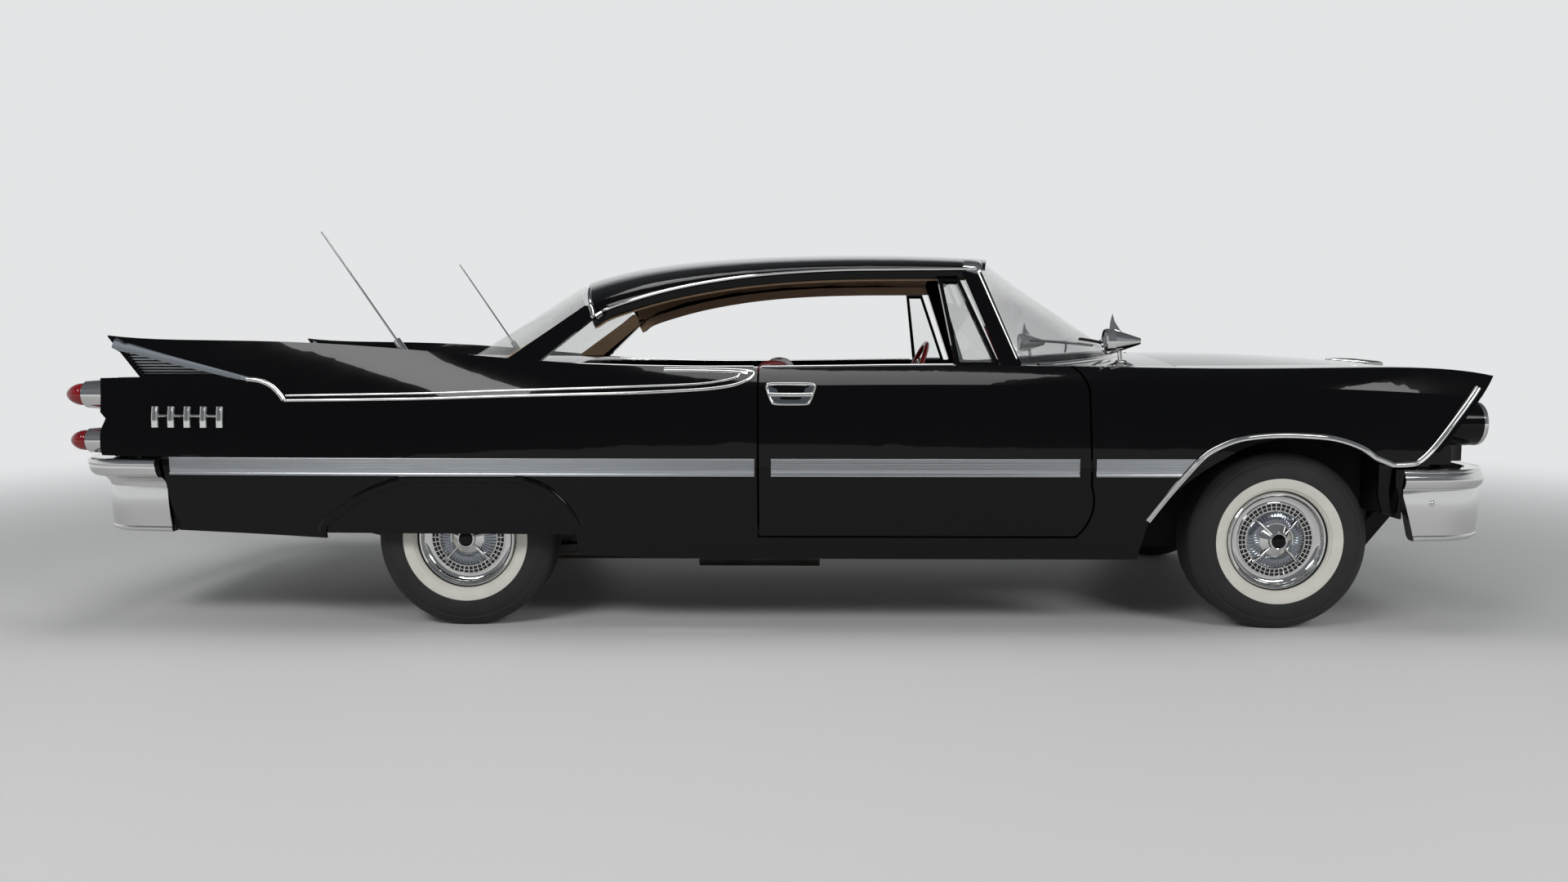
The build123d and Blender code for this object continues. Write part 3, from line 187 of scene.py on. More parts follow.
def whitewall_rubber():
    """White rubber wall, scrubbed clean but a little cream and grey in places."""
    tones = ({"Scale": per_metre(62.5), "Detail": 6.0}, "#e4e2da", "#cfcbc0")
    return surface("whitewall_rubber", "#dcd9d0", tones=tones, Roughness=0.55)


def window_glass():
    """Clear safety glass with a faint green tint and a slow ripple."""
    ripple = {"Scale": per_metre(250), "Detail": 1.0}
    clear = {"Roughness": 0.0, "IOR": 1.5, "Transmission_Weight": 1.0, "Alpha": 0.2}
    return surface("laminated_glass", "#e6f0ea", (NOISE, ripple, 0.02, 0.001), **clear)


def red_lens():
    """Moulded red acrylic with rings inside it, about 10 mm apart."""
    rings = {"wave_type": "BANDS", "bands_direction": "X", "Scale": WAVE_MM / 10.47}
    moulded = {"Roughness": 0.08, "IOR": 1.49, "Transmission_Weight": 0.15, "Coat_Weight": 0.3}
    return surface("red_acrylic_lens", "#8c0710", (WAVES, rings, 0.35, 0.002), **moulded)


def lamp_glass():
    """Pressed sealed-beam glass with upright flutes about 24 mm apart."""
    flutes = {"wave_type": "BANDS", "bands_direction": "Y", "Scale": WAVE_MM / 24.15}
    pressed = {"Roughness": 0.08, "Metallic": 0.45, "IOR": 1.5, "Coat_Weight": 1.0}
    return surface("pressed_lamp_glass", "#e9eef0", (WAVES, flutes, 0.5, 0.003), **pressed)


def red_vinyl():
    """Embossed seat vinyl, dark red and worn in places; its leather grain is drawn at 3 mm to show."""
    relief = (CELLS, {"Scale": per_metre(3.03)}, 0.3, 0.0012)
    tones = ({"Scale": per_metre(200), "Detail": 6.0}, "#4a0d11", "#74191e")
    return surface("embossed_red_vinyl", "#5c1216", relief, tones=tones, Roughness=0.42, Coat_Weight=0.15)


def tan_headliner():
    """Perforated tan vinyl headlining with a soft sheen, its holes about 8 mm apart."""
    relief = (CELLS, {"Scale": per_metre(8.333)}, 0.3, 0.001)
    tones = ({"Scale": per_metre(250), "Detail": 4.0}, "#967a5e", "#b89e80")
    return surface("tan_headlining_vinyl", "#a88d70", relief, tones=tones, Roughness=0.65)


def cabin_plastic():
    """Moulded black phenolic and painted dash metal, satin with small scratches."""
    haze = ({"Scale": per_metre(16.67), "Detail": 6.0}, (0.0, 1.0, 0.28, 0.52))
    return surface("satin_black_phenolic", "#131313", haze=haze, Roughness=0.4)


def red_phenolic():
    """Cast red plastic of the steering wheel, glossy with faint swirls."""
    tones = ({"Scale": per_metre(45.45), "Detail": 4.0, "Distortion": 1.5}, "#7c0d13", "#a51b20")
    return surface("red_cast_plastic", "#8e1218", tones=tones, Roughness=0.28, Coat_Weight=0.4)


def undercoat():
    """Bitumen undercoat: dull black, with pebbles of about 7 mm."""
    pebble = {"Scale": per_metre(7.143), "Detail": 5.0}
    return surface("bitumen_undercoat", "#161514", (NOISE, pebble, 0.5, 0.002), Roughness=0.85)


def cast_iron():
    """Sand-cast iron under grey engine enamel; the sand's grain is drawn at 5.6 mm to show."""
    sand = {"Scale": per_metre(5.556), "Detail": 5.0}
    return surface("painted_cast_iron", "#3a3b3d", (NOISE, sand, 0.4, 0.0015), Roughness=0.6, Metallic=0.3)


def plain_steel():
    """Aluminised steel pipe, dulled by heat."""
    tones = ({"Scale": per_metre(142.9), "Detail": 6.0}, "#8a8883", "#5b5047")
    return surface("aluminised_steel", "#7c7a76", tones=tones, Metallic=0.9, Roughness=0.45)


PAINT = black_enamel()
CHROME = plated_chrome()
# Chrome darkened as painted shade, for shaded mouldings and hollows
PAINTED_SHADE_CHROME = painted_shade_chrome()
BRUSHED = brushed_aluminium()
RUBBER = tyre_rubber()
WHITEWALL = whitewall_rubber()
VINYL = red_vinyl()
HEADLINER = tan_headliner()
PLASTIC = cabin_plastic()
UNDERCOAT = undercoat()
STEEL = plain_steel()

SLOT_FINISH = {
    "black_paint": PAINT,
    "underbody_paint": UNDERCOAT,
    "chrome": CHROME,
    "cover_chrome": CHROME,
    "tyre_rubber": RUBBER,
    "window_glass": window_glass(),
    "lamp_glass": lamp_glass(),
    "red_lens": red_lens(),
    "seat_vinyl": VINYL,
    "cabin_plastic": PLASTIC,
    "cast_metal": cast_iron(),
    "plain_steel": STEEL,
}
for part in frame["record"]["subparts"]:
    NODES[part["node"]].data.materials.clear()
    NODES[part["node"]].data.materials.append(SLOT_FINISH[part["material_slot"]])
NODES["steering_wheel"].data.materials[0] = red_phenolic()
NODES["exhaust"].data.materials[0] = STEEL


# Modelling helpers


def pick(*pieces):
    """Selects only these pieces; the last becomes the active one."""
    bpy.ops.object.select_all(action="DESELECT")
    for piece in pieces:
        piece.select_set(True)
    bpy.context.view_layer.objects.active = pieces[-1]


def settle(piece, name, finish=CHROME, body="body", smooth=40):
    """Names a finished piece, gives it a finish and a body to ride on."""
    pick(piece)
    bpy.ops.object.transform_apply(location=True, rotation=True, scale=True)
    piece.name = piece.data.name = name
    if finish is not None:
        piece.data.materials.clear()
        piece.data.materials.append(finish)
    bpy.ops.object.shade_smooth_by_angle(angle=math.radians(smooth))
    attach(piece, body)
    return piece


def copied(piece, name, matrix, body):
    """A copy with its own mesh, turned or moved by a matrix."""
    twin = piece.copy()
    twin.data = piece.data.copy()
    twin.data.transform(matrix)
    if matrix.determinant() < 0:
        twin.data.flip_normals()
    bpy.context.scene.collection.objects.link(twin)
    twin.name = twin.data.name = name
    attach(twin, body)
    return twin


def pair(piece, title, finish=CHROME, smooth=40, bodies=BODY):
    """Settles a left-hand piece and adds its right-hand twin."""
    settle(piece, f"{title}_left", finish, bodies[0], smooth)
    copied(piece, f"{title}_right", Matrix.Scale(-1, 4, OUTWARD), bodies[1])


def stamped(model, title, finish, places, smooth=40):
    """Copies of a model at places of (name, matrix, body); the model itself goes."""
    settle(model, "draft_" + title, finish, "body", smooth)
    pieces = [copied(model, f"{title}_{name}", matrix, body) for name, matrix, body in places]
    bpy.data.objects.remove(model)
    return pieces


def ring_of(piece, count):
    """Repeats a piece in a ring about the Y axis and joins the copies."""
    twins = []
    for step in range(1, count):
        twin = piece.copy()
        twin.data = piece.data.copy()
        twin.data.transform(Matrix.Rotation(2 * math.pi * step / count, 4, "Y"))
        bpy.context.scene.collection.objects.link(twin)
        twins.append(twin)
    return joined(*twins, piece)


def joined(*pieces):
    """The pieces as one, under the last one's name."""
    pick(*pieces)
    bpy.ops.object.join()
    return bpy.context.object


def block(low, high, bevel=0.002, segments=2):
    """A bar between two corners with its edges eased."""
    bpy.ops.object.select_all(action="DESELECT")
    centre = [(a + b) / 2 for a, b in zip(low, high)]
    bpy.ops.mesh.primitive_cube_add(size=1, location=centre)
    piece = bpy.context.object
    piece.scale = [b - a for a, b in zip(low, high)]
    bpy.ops.object.transform_apply(location=True, rotation=True, scale=True)
    return eased(piece, bevel, segments)


def eased(piece, bevel, segments):
    """Bevels all the edges of a piece."""
    pick(piece)
    bpy.ops.object.mode_set(mode="EDIT")
    bpy.ops.mesh.select_all(action="SELECT")
    bpy.ops.mesh.bevel(offset=bevel, segments=segments, affect="EDGES")
    bpy.ops.object.mode_set(mode="OBJECT")
    return piece


def draft(points, edges, faces):
    """A new mesh piece, open in edit mode with everything selected."""
    mesh = bpy.data.meshes.new("draft")
    mesh.from_pydata(points, edges, faces)
    piece = bpy.data.objects.new("draft", mesh)
    bpy.context.scene.collection.objects.link(piece)
    pick(piece)
    bpy.ops.object.mode_set(mode="EDIT")
    bpy.ops.mesh.select_all(action="SELECT")
    return piece


def sealed(piece, reach):
    """Merges points within reach of each other, turns the faces outwards and leaves edit mode."""
    bpy.ops.mesh.remove_doubles(threshold=reach)
    bpy.ops.mesh.normals_make_consistent(inside=False)
    bpy.ops.object.mode_set(mode="OBJECT")
    return piece


def from_faces(points, faces):
    return sealed(draft(points, [], faces), 0.00001)


def lathe(profile, steps=96):
    """Turns a closed profile of (radius, outwards) about the Y axis at the origin."""
    count = len(profile)
    piece = draft([(0, y, r) for r, y in profile], [(i, (i + 1) % count) for i in range(count)], [])
    bpy.ops.mesh.spin(steps=steps, angle=2 * math.pi, center=(0, 0, 0), axis=(0, 1, 0))
    bpy.ops.mesh.select_all(action="SELECT")
    return sealed(piece, 0.00002)


def skinned(points, width, close_ends=True):
    """A skin over rows of points; each row is a closed section of width points."""
    last = len(points) - width
    faces = []
    for start in range(0, last, width):
        for j in range(width):
            k = (j + 1) % width
            faces.append((start + j, start + k, start + width + k, start + width + j))
    if close_ends:
        faces += [tuple(range(width)), tuple(range(last, len(points)))]
    return from_faces(points, faces)


def smooth_path(points, per_run=8):
    """Points along a smooth curve through the given ones."""
    points = [Vector(p) for p in points]
    ends = [2 * points[0] - points[1]] + points + [2 * points[-1] - points[-2]]
    path = []
    for a, b, c, d in zip(ends, ends[1:], ends[2:], ends[3:]):
        for step in range(per_run):
            t = step / per_run
            square, cube = 2 * a - 5 * b + 4 * c - d, 3 * b - a - 3 * c + d
            path.append(0.5 * (2 * b + (c - a) * t + square * t * t + cube * t**3))
    return path + [points[-1]]


def skin_spot(panel, x, z):
    """A left panel's outer face at a place in side view, with its normal, or None."""
    hit, spot, normal, _ = NODES[panel].ray_cast(Vector((x, 1.4, z)), -OUTWARD)
    return (spot, normal) if hit and spot.y > 0.5 else None


def inside_spot(panel, x, z):
    """A left panel's inner face at a place in side view."""
    return NODES[panel].ray_cast(Vector((x, 0.3, z)), OUTWARD)[1]


def top_spot(panels, x, y):
    """The highest surface of the named panels above a place in plan, or None."""
    best = None
    for name in panels:
        hit, spot, _, _ = NODES[name].ray_cast(Vector((x, y, 2.2)), -UPWARD)
        if hit and (best is None or spot.z > best.z):
            best = spot
    return best


def moulding(path, outward, section, close_ends=True, taper=None):
    """Sweeps a section of (across, out) along a path; taper gives its share of the width at each end."""
    points = []
    last = len(path) - 1
    for i, spot in enumerate(path):
        ahead = (path[min(i + 1, last)] - path[max(i - 1, 0)]).normalized()
        out = outward[i] if isinstance(outward, list) else outward
        across = ahead.cross(out).normalized()
        out = across.cross(ahead).normalized()
        share = 1.0 if taper is None else taper[0] + (taper[1] - taper[0]) * i / last
        points += [spot + u * share * across + v * out for u, v in section]
    return skinned(points, len(section), close_ends)


def mirrored(half):
    """A whole section from one half of it."""
    return half + [(-across, out) for across, out in reversed(half)]


def half_round(width, height, sink=0.006, steps=8):
    """A bead's section: a half ellipse with its foot sunk into the panel."""
    turns = [math.pi * i / steps for i in range(steps + 1)]
    arc = [(width / 2 * math.cos(turn), height * math.sin(turn)) for turn in turns]
    return arc + [(-width / 2, -sink), (width / 2, -sink)]


def round_bar(radius, sides):
    """A round bar's section."""
    turns = [2 * math.pi * k / sides for k in range(sides)]
    return [(radius * math.cos(turn), radius * math.sin(turn)) for turn in turns]


def along_skin(panel, outline, per_run=8, lift=0.0):
    """A smooth path laid on a left panel, with the skin's normals. Points are x, z in side view."""
    path, outs = [], []
    for spot in smooth_path([(x, 0, z) for x, z in outline], per_run):
        # Past the panel's upper edge, the first place below it counts
        drops = (skin_spot(panel, spot.x, spot.z - 0.003 * drop) for drop in range(14))
        found = next((place for place in drops if place), None)
        if found:
            path.append(found[0] + lift * found[1])
            outs.append(found[1])
    for _ in range(6):
        eased_outs = [(a + 2 * b + c).normalized() for a, b, c in zip(outs, outs[1:], outs[2:])]
        outs = outs[:1] + eased_outs + outs[-1:]
    return path, outs


# Tyres and wheel covers, modelled once with their outer face towards +Y

# The tyre's outer half from bead to shoulder: radius, outwards
TYRE_SIDE = [
    (0.1902, 0.066), (0.1912, 0.076), (0.196, 0.0845), (0.2, 0.0855), (0.203, 0.0905), (0.218, 0.0955),
    (0.236, 0.0985), (0.2395, 0.0985), (0.242, 0.1008), (0.247, 0.1018), (0.262, 0.1022), (0.282, 0.0998),
    (0.3, 0.094), (0.302, 0.0918), (0.307, 0.0905), (0.309, 0.0912), (0.32, 0.0845), (0.331, 0.0755),
    (0.3365, 0.069),
]  # fmt: skip
SHOULDER = (0.339, 0.064)
CROWN_R = 0.34
CROWN_FALL = 0.4
TREAD_GROOVES = (0.052, 0.031, 0.0105, -0.0105, -0.031, -0.052)
GROOVE_HALF = 0.0028
GROOVE_DEPTH = 0.008
WHITE_INNER_R = 0.1925
WHITE_OUTER_R = 0.2398
# The cover's ring of windows: radius and half width of its three bright rings
WINDOW_RINGS = ((0.1125, 0.0026), (0.127, 0.002), (0.1415, 0.003))
WINDOW_BARS = 44
FINS = 52
FIN_RADII = (0.106, 0.098, 0.09, 0.082, 0.074, 0.066)


def whitewall_tyre():
    tread = [SHOULDER]
    for y in TREAD_GROOVES:
        crown = CROWN_R - CROWN_FALL * y * y
        floor = crown - GROOVE_DEPTH
        tread += [(crown, y + GROOVE_HALF), (floor, y + GROOVE_HALF * 0.7)]
        tread += [(floor, y - GROOVE_HALF * 0.7), (crown, y - GROOVE_HALF)]
    tread += [(SHOULDER[0], -SHOULDER[1])]
    tyre = lathe(TYRE_SIDE + tread + [(r, -y) for r, y in reversed(TYRE_SIDE)], 120)
    tyre.data.materials.append(RUBBER)
    tyre.data.materials.append(WHITEWALL)
    for face in tyre.data.polygons:
        r = math.hypot(face.center.x, face.center.z)
        face.material_index = int(WHITE_INNER_R < r < WHITE_OUTER_R and face.center.y > 0)
    return tyre


def cover_face(radius):
    """How far outwards the wheel cover's pressed face stands at a radius."""
    start = Vector((FRONT_AXLE_X, FRONT_HUB_Y + 0.3, AXLE_Z + radius))
    return NODES["wheel_front_left"].ray_cast(start, -OUTWARD)[1].y - FRONT_HUB_Y


def cover_grid():
    """Two rings of small square windows in the cover: bright bars over a ring of painted shade."""
    foot = cover_face(WINDOW_RINGS[1][0])
    path = [Vector((0, foot, radius)) for radius, _ in WINDOW_RINGS]
    bar = moulding(path, OUTWARD, mirrored([(0.0026, 0.0), (0.0024, 0.0062), (0.0014, 0.0075)]))
    bars = ring_of(bar, WINDOW_BARS)
    rings = []
    for radius, half in WINDOW_RINGS:
        profile = mirrored([(-half, 0.0), (-half, 0.0062), (-half / 2, 0.008)])
        rings.append(lathe([(radius + across, foot + out) for across, out in profile]))
    return joined(*rings, bars)


def window_shade_ring():
    """Painted shade: a thin dark ring that stands for the shade seen through the cover's windows."""
    inner, middle, outer = (radius for radius, _ in WINDOW_RINGS)
    low, high = cover_face(middle) - 0.001, cover_face(middle) + 0.001
    return lathe([(inner, low), (inner, high), (outer, high), (outer, low)])


def cover_fins():
    """Fine radial fins pressed in the cover's inner dome."""
    path = [Vector((0, cover_face(radius), radius)) for radius in FIN_RADII]
    fin = moulding(path, OUTWARD, [(0.0023, -0.001), (0.0, 0.0055), (-0.0023, -0.001)], taper=(1.0, 0.6))
    return ring_of(fin, FINS)


def fin_shade_bed():
    """Painted shade: a thin ring of darkened chrome under the fins."""
    upper = [(radius, cover_face(radius) + 0.001) for radius in FIN_RADII]
    return lathe(upper + [(radius, out - 0.002) for radius, out in reversed(upper)])


def cover_spokes():
    """Four thin bars from the cap to the window ring."""
    line = ((0.035, 0.083), (0.058, 0.0765), (0.082, 0.0735), (0.104, 0.066), (0.12, 0.058))
    spoke = moulding([Vector((0, y, r)) for r, y in line], OUTWARD, half_round(0.0075, 0.0035, 0.004, 6))
    spoke.data.transform(Matrix.Rotation(math.radians(45), 4, "Y"))
    return ring_of(spoke, 4)


# Turned pieces of the cover: radius, outwards
PLAIN_CAP = [
    (0.0, 0.0925), (0.008, 0.0923), (0.017, 0.0913), (0.0245, 0.0893), (0.0262, 0.0872), (0.0262, 0.0842),
    (0.0, 0.0842),
]  # fmt: skip
CAP_RING = [
    (0.0262, 0.082), (0.0268, 0.089), (0.0295, 0.0905), (0.0335, 0.0893), (0.0355, 0.085), (0.036, 0.0792)
]  # fmt: skip
ROLLED_RIM = [
    (0.1725, 0.0705), (0.1765, 0.0765), (0.1825, 0.0775), (0.1872, 0.074), (0.1888, 0.0672), (0.1875, 0.063),
    (0.172, 0.066),
]  # fmt: skip


def shod_wheels():
    """Tyres and cover details for the four wheels."""
    models = {
        "whitewall_tyre": (whitewall_tyre(), None, "tyre_rubber"),
        "cover_grid": (cover_grid(), CHROME, "cover_chrome"),
        "cover_fins": (cover_fins(), CHROME, "cover_chrome"),
        "cover_spokes": (cover_spokes(), CHROME, "cover_chrome"),
        "cover_cap": (lathe(PLAIN_CAP), PAINT, "black_paint"),
        "cover_cap_ring": (lathe(CAP_RING), CHROME, "cover_chrome"),
        "cover_lip": (lathe(ROLLED_RIM), CHROME, "cover_chrome"),
        # Painted shade behind the cover's windows, in black plastic
        "cover_window_shade": (window_shade_ring(), PLASTIC, "cabin_plastic"),
        # Painted shade under the fins, in the darkened chrome
        "cover_fin_shade_bed": (fin_shade_bed(), PAINTED_SHADE_CHROME, "cover_chrome"),
    }
    places = []
    for corner, (x, y, side) in WHEELS.items():
        turn = Matrix.Identity(4) if side > 0 else Matrix.Rotation(math.pi, 4, "Z")
        places.append((corner, Matrix.Translation((x, y, AXLE_Z)) @ turn, f"wheel_{corner}"))
    for title, (model, finish, slot) in models.items():
        pieces = stamped(model, title, finish, places, 30)
        if title == "whitewall_tyre":
            for piece, corner in zip(pieces, WHEELS):
                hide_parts(f"tyre_{corner}")


shod_wheels()


# Side brightwork, laid on the left panels and mirrored

QUARTER = "rear_quarter_left"
FENDER = "front_fender_left"
BAND_LOW_Z = 0.598
BAND_HIGH_Z = 0.664
BAND_MIDDLE_Z = (BAND_LOW_Z + BAND_HIGH_Z) / 2
BAND_RIBS = 9
DOOR_REAR_X = -0.084
DOOR_FRONT_X = 1.156
SHUT_LINE = 0.008


def band_section():
    """The wide band's section: a bright top bead, a ribbed field, a groove and a bright lower line."""
    half = (BAND_HIGH_Z - BAND_LOW_Z) / 2
    section = [(half, -0.014), (half, 0.004), (half - 0.0025, 0.0062), (half - 0.005, 0.0045)]
    top, bottom = half - 0.007, -half + 0.021
    step = (top - bottom) / BAND_RIBS
    for i in range(BAND_RIBS):
        middle = top + (bottom - top) * (i + 0.5) / BAND_RIBS
        rib = ((0.42, 0.0028), (0.15, 0.0044), (-0.15, 0.0044), (-0.42, 0.0028))
        section += [(middle + step * share, out) for share, out in rib]
    groove = ((0.0185, 0.0012), (0.011, 0.0012), (0.009, 0.0055), (0.0045, 0.0068), (0, 0.004), (0, -0.014))
    section += [(-half + rise, out) for rise, out in groove]
    return section[::-1]


def side_band(x_low, x_high, panel):
    """One panel's length of the band, as far out as the panel is anywhere behind it."""
    count = max(4, int((x_high - x_low) / 0.05))
    path = []
    for i in range(count + 1):
        x = x_low + (x_high - x_low) * i / count
        spots = [skin_spot(panel, x, z) for z in (BAND_LOW_Z, BAND_MIDDLE_Z, BAND_HIGH_Z)]
        if any(spots):
            path.append(Vector((x, max(spot[0].y for spot in spots if spot), BAND_MIDDLE_Z)))
    return moulding(path, OUTWARD, band_section())


def side_bands():
    """The band in three lengths; the front one's end is slanted."""
    runs = (
        ("rear", -2.286, DOOR_REAR_X - SHUT_LINE - 0.001, QUARTER, BODY),
        ("door", DOOR_REAR_X + 0.001, DOOR_FRONT_X - 0.001, "door_left", DOORS),
        ("front", DOOR_FRONT_X + SHUT_LINE + 0.001, 1.5, FENDER, BODY),
    )
    for title, x_low, x_high, panel, bodies in runs:
        strip = side_band(x_low, x_high, panel)
        for vertex in strip.data.vertices:
            if title == "front" and vertex.co.x > x_high - 0.02:
                vertex.co.x += 0.85 * (vertex.co.z - BAND_MIDDLE_Z)
        pair(strip, f"side_band_{title}", BRUSHED, smooth=25, bodies=bodies)


side_bands()

# The spear on the rear quarter: x, z in side view
SPEAR_OUTER = [
    (-1.845, 0.876), (-1.6, 0.879), (-1.312, 0.884), (-1.067, 0.892), (-0.8, 0.899), (-0.524, 0.906),
    (-0.304, 0.917), (-0.196, 0.929), (-0.135, 0.945), (-0.1, 0.966), (-0.097, 0.979), (-0.12, 0.986),
    (-0.196, 0.9905), (-0.304, 0.992), (-0.432, 0.9925),
]  # fmt: skip
SPEAR_INNER = [
    (-1.84, 0.8945), (-1.312, 0.904), (-1.067, 0.912), (-0.8, 0.92), (-0.524, 0.9285), (-0.304, 0.938),
    (-0.21, 0.95), (-0.16, 0.963), (-0.148, 0.974),
]  # fmt: skip
SPEAR_CREST = [(-0.118, 0.976), (-0.15, 0.98), (-0.196, 0.983), (-0.304, 0.985), (-0.432, 0.9855)]
SPEAR_TAIL = [(-1.99, 0.955), (-1.946, 0.95), (-1.899, 0.931), (-1.866, 0.902), (-1.846, 0.8775)]
FIN_EDGE = [(-2.525, 1.094), (-2.4, 1.058), (-2.25, 1.019), (-2.1, 0.982), (-1.99, 0.955)]
FIN_SECTION = [
    (0.021, -0.02), (0.021, 0.003), (0.016, 0.0085), (-0.012, 0.006), (-0.02, 0.001), (-0.02, -0.02)
]  # fmt: skip


def spear():
    """The bright lines of the spear."""
    beads = (
        ("spear_outer", SPEAR_OUTER, half_round(0.012, 0.006)),
        ("spear_inner", SPEAR_INNER, half_round(0.009, 0.0045)),
        ("spear_crest", SPEAR_CREST, half_round(0.015, 0.006)),
        ("spear_tail", SPEAR_TAIL, half_round(0.02, 0.009, 0.008)),
    )
    for title, outline, section in beads:
        pair(moulding(*along_skin(QUARTER, outline), section), title)


def fin_edge():
    """The fin's edge, in chrome darkened as painted shade, carried straight across the gill recess."""
    start, end = skin_spot(QUARTER, -2.516, 1.106)[0], skin_spot(QUARTER, -1.99, 0.962)[0]
    path, _ = along_skin(QUARTER, FIN_EDGE)
    for spot in path:
        spot.y = max(spot.y, start.y + (end.y - start.y) * (spot.x - start.x) / (end.x - start.x))
    pair(moulding(path, Vector((0, 1, 0.1)), FIN_SECTION, taper=(1.0, 0.5)), "fin_edge", PAINTED_SHADE_CHROME)


spear()
fin_edge()

# The gill's level ribs, and the edges that end them: x at the foot, and how far back it moves per metre up
GILL_ROWS = 10
GILL_LOW_Z = 0.9745
GILL_STEP = 0.0108
GILL_FOOT_Z = 0.968
GILL_REAR = (-2.389, 0.9)
GILL_FRONT = (-2.082, 3.5)
GILL_SECTION = [
    (0.0042, -0.003), (0.0036, 0.01), (0.0008, 0.0142), (-0.0018, 0.0132), (-0.0042, 0.004), (-0.0042, -0.003)
]  # fmt: skip


def gill_ribs():
    """Level ribs that fill the triangle under the fin's tip, with their ends cut on its slanting edges."""
    ribs = []
    for i in range(GILL_ROWS):
        z = GILL_LOW_Z + GILL_STEP * i
        x_rear, x_front = (x - (z - GILL_FOOT_Z) * slant for x, slant in (GILL_REAR, GILL_FRONT))
        if x_front - x_rear >= 0.02:
            path = [skin_spot(QUARTER, x_rear + (x_front - x_rear) * k / 6, z)[0] for k in range(7)]
            ribs.append(moulding(path, OUTWARD, GILL_SECTION))
    pair(joined(*ribs), "gill_ribs", BRUSHED, smooth=30)


gill_ribs()

ORNAMENT_BARS = 5
ORNAMENT_REAR_X = -2.338
ORNAMENT_STEP = 0.0625


def tail_ornament():
    """Short upright bars with a bar between them, on each rear quarter."""
    bars = []
    for i in range(ORNAMENT_BARS):
        x = ORNAMENT_REAR_X + ORNAMENT_STEP * i
        low, high = (skin_spot(QUARTER, x, z)[0] for z in (0.775, 0.85))
        path = smooth_path([low, (low + high) / 2 + 0.003 * OUTWARD, high], 6)
        bars.append(moulding(path, OUTWARD, half_round(0.03, 0.02, 0.012, 6)))
        if i < ORNAMENT_BARS - 1:
            ends = [skin_spot(QUARTER, x + ahead, 0.818)[0] for ahead in (0.008, 0.0545)]
            bars.append(moulding(ends, OUTWARD, half_round(0.012, 0.011, 0.01, 4)))
    pair(joined(*bars), "tail_ornament")


tail_ornament()

# The front wheel opening and the slanting brow: x, z in side view
FRONT_ARCH_LINE = [
    (1.368, 0.43), (1.43, 0.52), (1.492, 0.6), (1.552, 0.668), (1.606, 0.704), (1.688, 0.736), (1.8, 0.75),
    (1.915, 0.75), (2.04, 0.738), (2.14, 0.705), (2.205, 0.66), (2.24, 0.6435), (2.32, 0.6435),
    (2.358, 0.656), (2.41, 0.705), (2.5, 0.818), (2.583, 0.9235),
]  # fmt: skip
ARCH_HALF_SECTION = [(0.0105, -0.01), (0.0105, 0.0045), (0.008, 0.0075), (0.0035, 0.0078), (0.0015, 0.0052)]


def front_arch_moulding():
    """Bright moulding round the front wheel opening and up the slanting brow."""
    path, outs = along_skin(FENDER, FRONT_ARCH_LINE, 4)
    pair(moulding(path, outs, mirrored(ARCH_HALF_SECTION)), "front_arch_moulding")


front_arch_moulding()

LIP_TOP_Z = 0.59
LIP_INSET = 0.01


def rear_arch_lip():
    """The painted rolled lip over the skirted rear wheel, just above the opening's edge."""
    outline = []
    for degree in range(176, 4, -4):
        across, up = math.cos(math.radians(degree)), math.sin(math.radians(degree))
        for radius in [0.2 + 0.0015 * step for step in range(347)]:
            if skin_spot(QUARTER, REAR_AXLE_X + radius * across, AXLE_Z + radius * up):
                radius += LIP_INSET
                outline.append((REAR_AXLE_X + radius * across, AXLE_Z + radius * up))
                break
    path, outs = along_skin(QUARTER, [place for place in outline if place[1] < LIP_TOP_Z], 3)
    pair(moulding(path, outs, half_round(0.034, 0.013, 0.008)), "rear_arch_lip", PAINT)


rear_arch_lip()


# Roof, glass and belt brightwork

DRIP_LINE = [
    (0.76, 1.377), (0.45, 1.372), (0.14, 1.36), (-0.182, 1.332), (-0.504, 1.272), (-0.699, 1.203),
    (-0.738, 1.187),
]  # fmt: skip
# Sections of the gutter, the painted rail under it and the rail's lining: down, out
GUTTER = [
    (0.007, -0.008), (0.008, 0.004), (0.0045, 0.011), (-0.001, 0.0125), (-0.0055, 0.008), (-0.006, 0.002),
    (-0.006, -0.008),
]  # fmt: skip
SIDE_RAIL = [(-0.002, -0.004), (0.03, -0.009), (0.034, -0.013), (0.034, -0.03), (-0.002, -0.03)]
RAIL_LINING = [(-0.002, -0.029), (0.036, -0.027), (0.039, -0.031), (0.036, -0.036), (-0.002, -0.036)]


def drip_moulding():
    """Bright gutter moulding along the roof's edge and down the rear pillar, with the rail inside it."""
    path = []
    for spot in smooth_path([(x, 0, z) for x, z in DRIP_LINE]):
        rises = (skin_spot("roof", spot.x, spot.z + 0.0015 * rise) for rise in range(60))
        found = next((place for place in rises if place), None)
        if found:
            path.append(found[0])
    for _ in range(4):
        path = path[:1] + [(a + 2 * b + c) / 4 for a, b, c in zip(path, path[1:], path[2:])] + path[-1:]
    runs = (
        ("drip_moulding", GUTTER, CHROME, "chrome"),
        ("roof_side_rail", SIDE_RAIL, PAINT, "black_paint"),
        ("rail_lining", RAIL_LINING, HEADLINER, "seat_vinyl"),
    )
    for title, section, finish, slot in runs:
        pair(moulding(path, Vector((0, 1, 0.12)), section), title, finish)


drip_moulding()

REAR_CAP_LINE = [(-0.734, 1.182), (-0.737, 1.21), (-0.75, 1.24), (-0.766, 1.275), (-0.78, 1.305)]
FRONT_CAP_LINE = [(0.752, 1.412), (0.749, 1.394), (0.745, 1.378), (0.74, 1.362)]


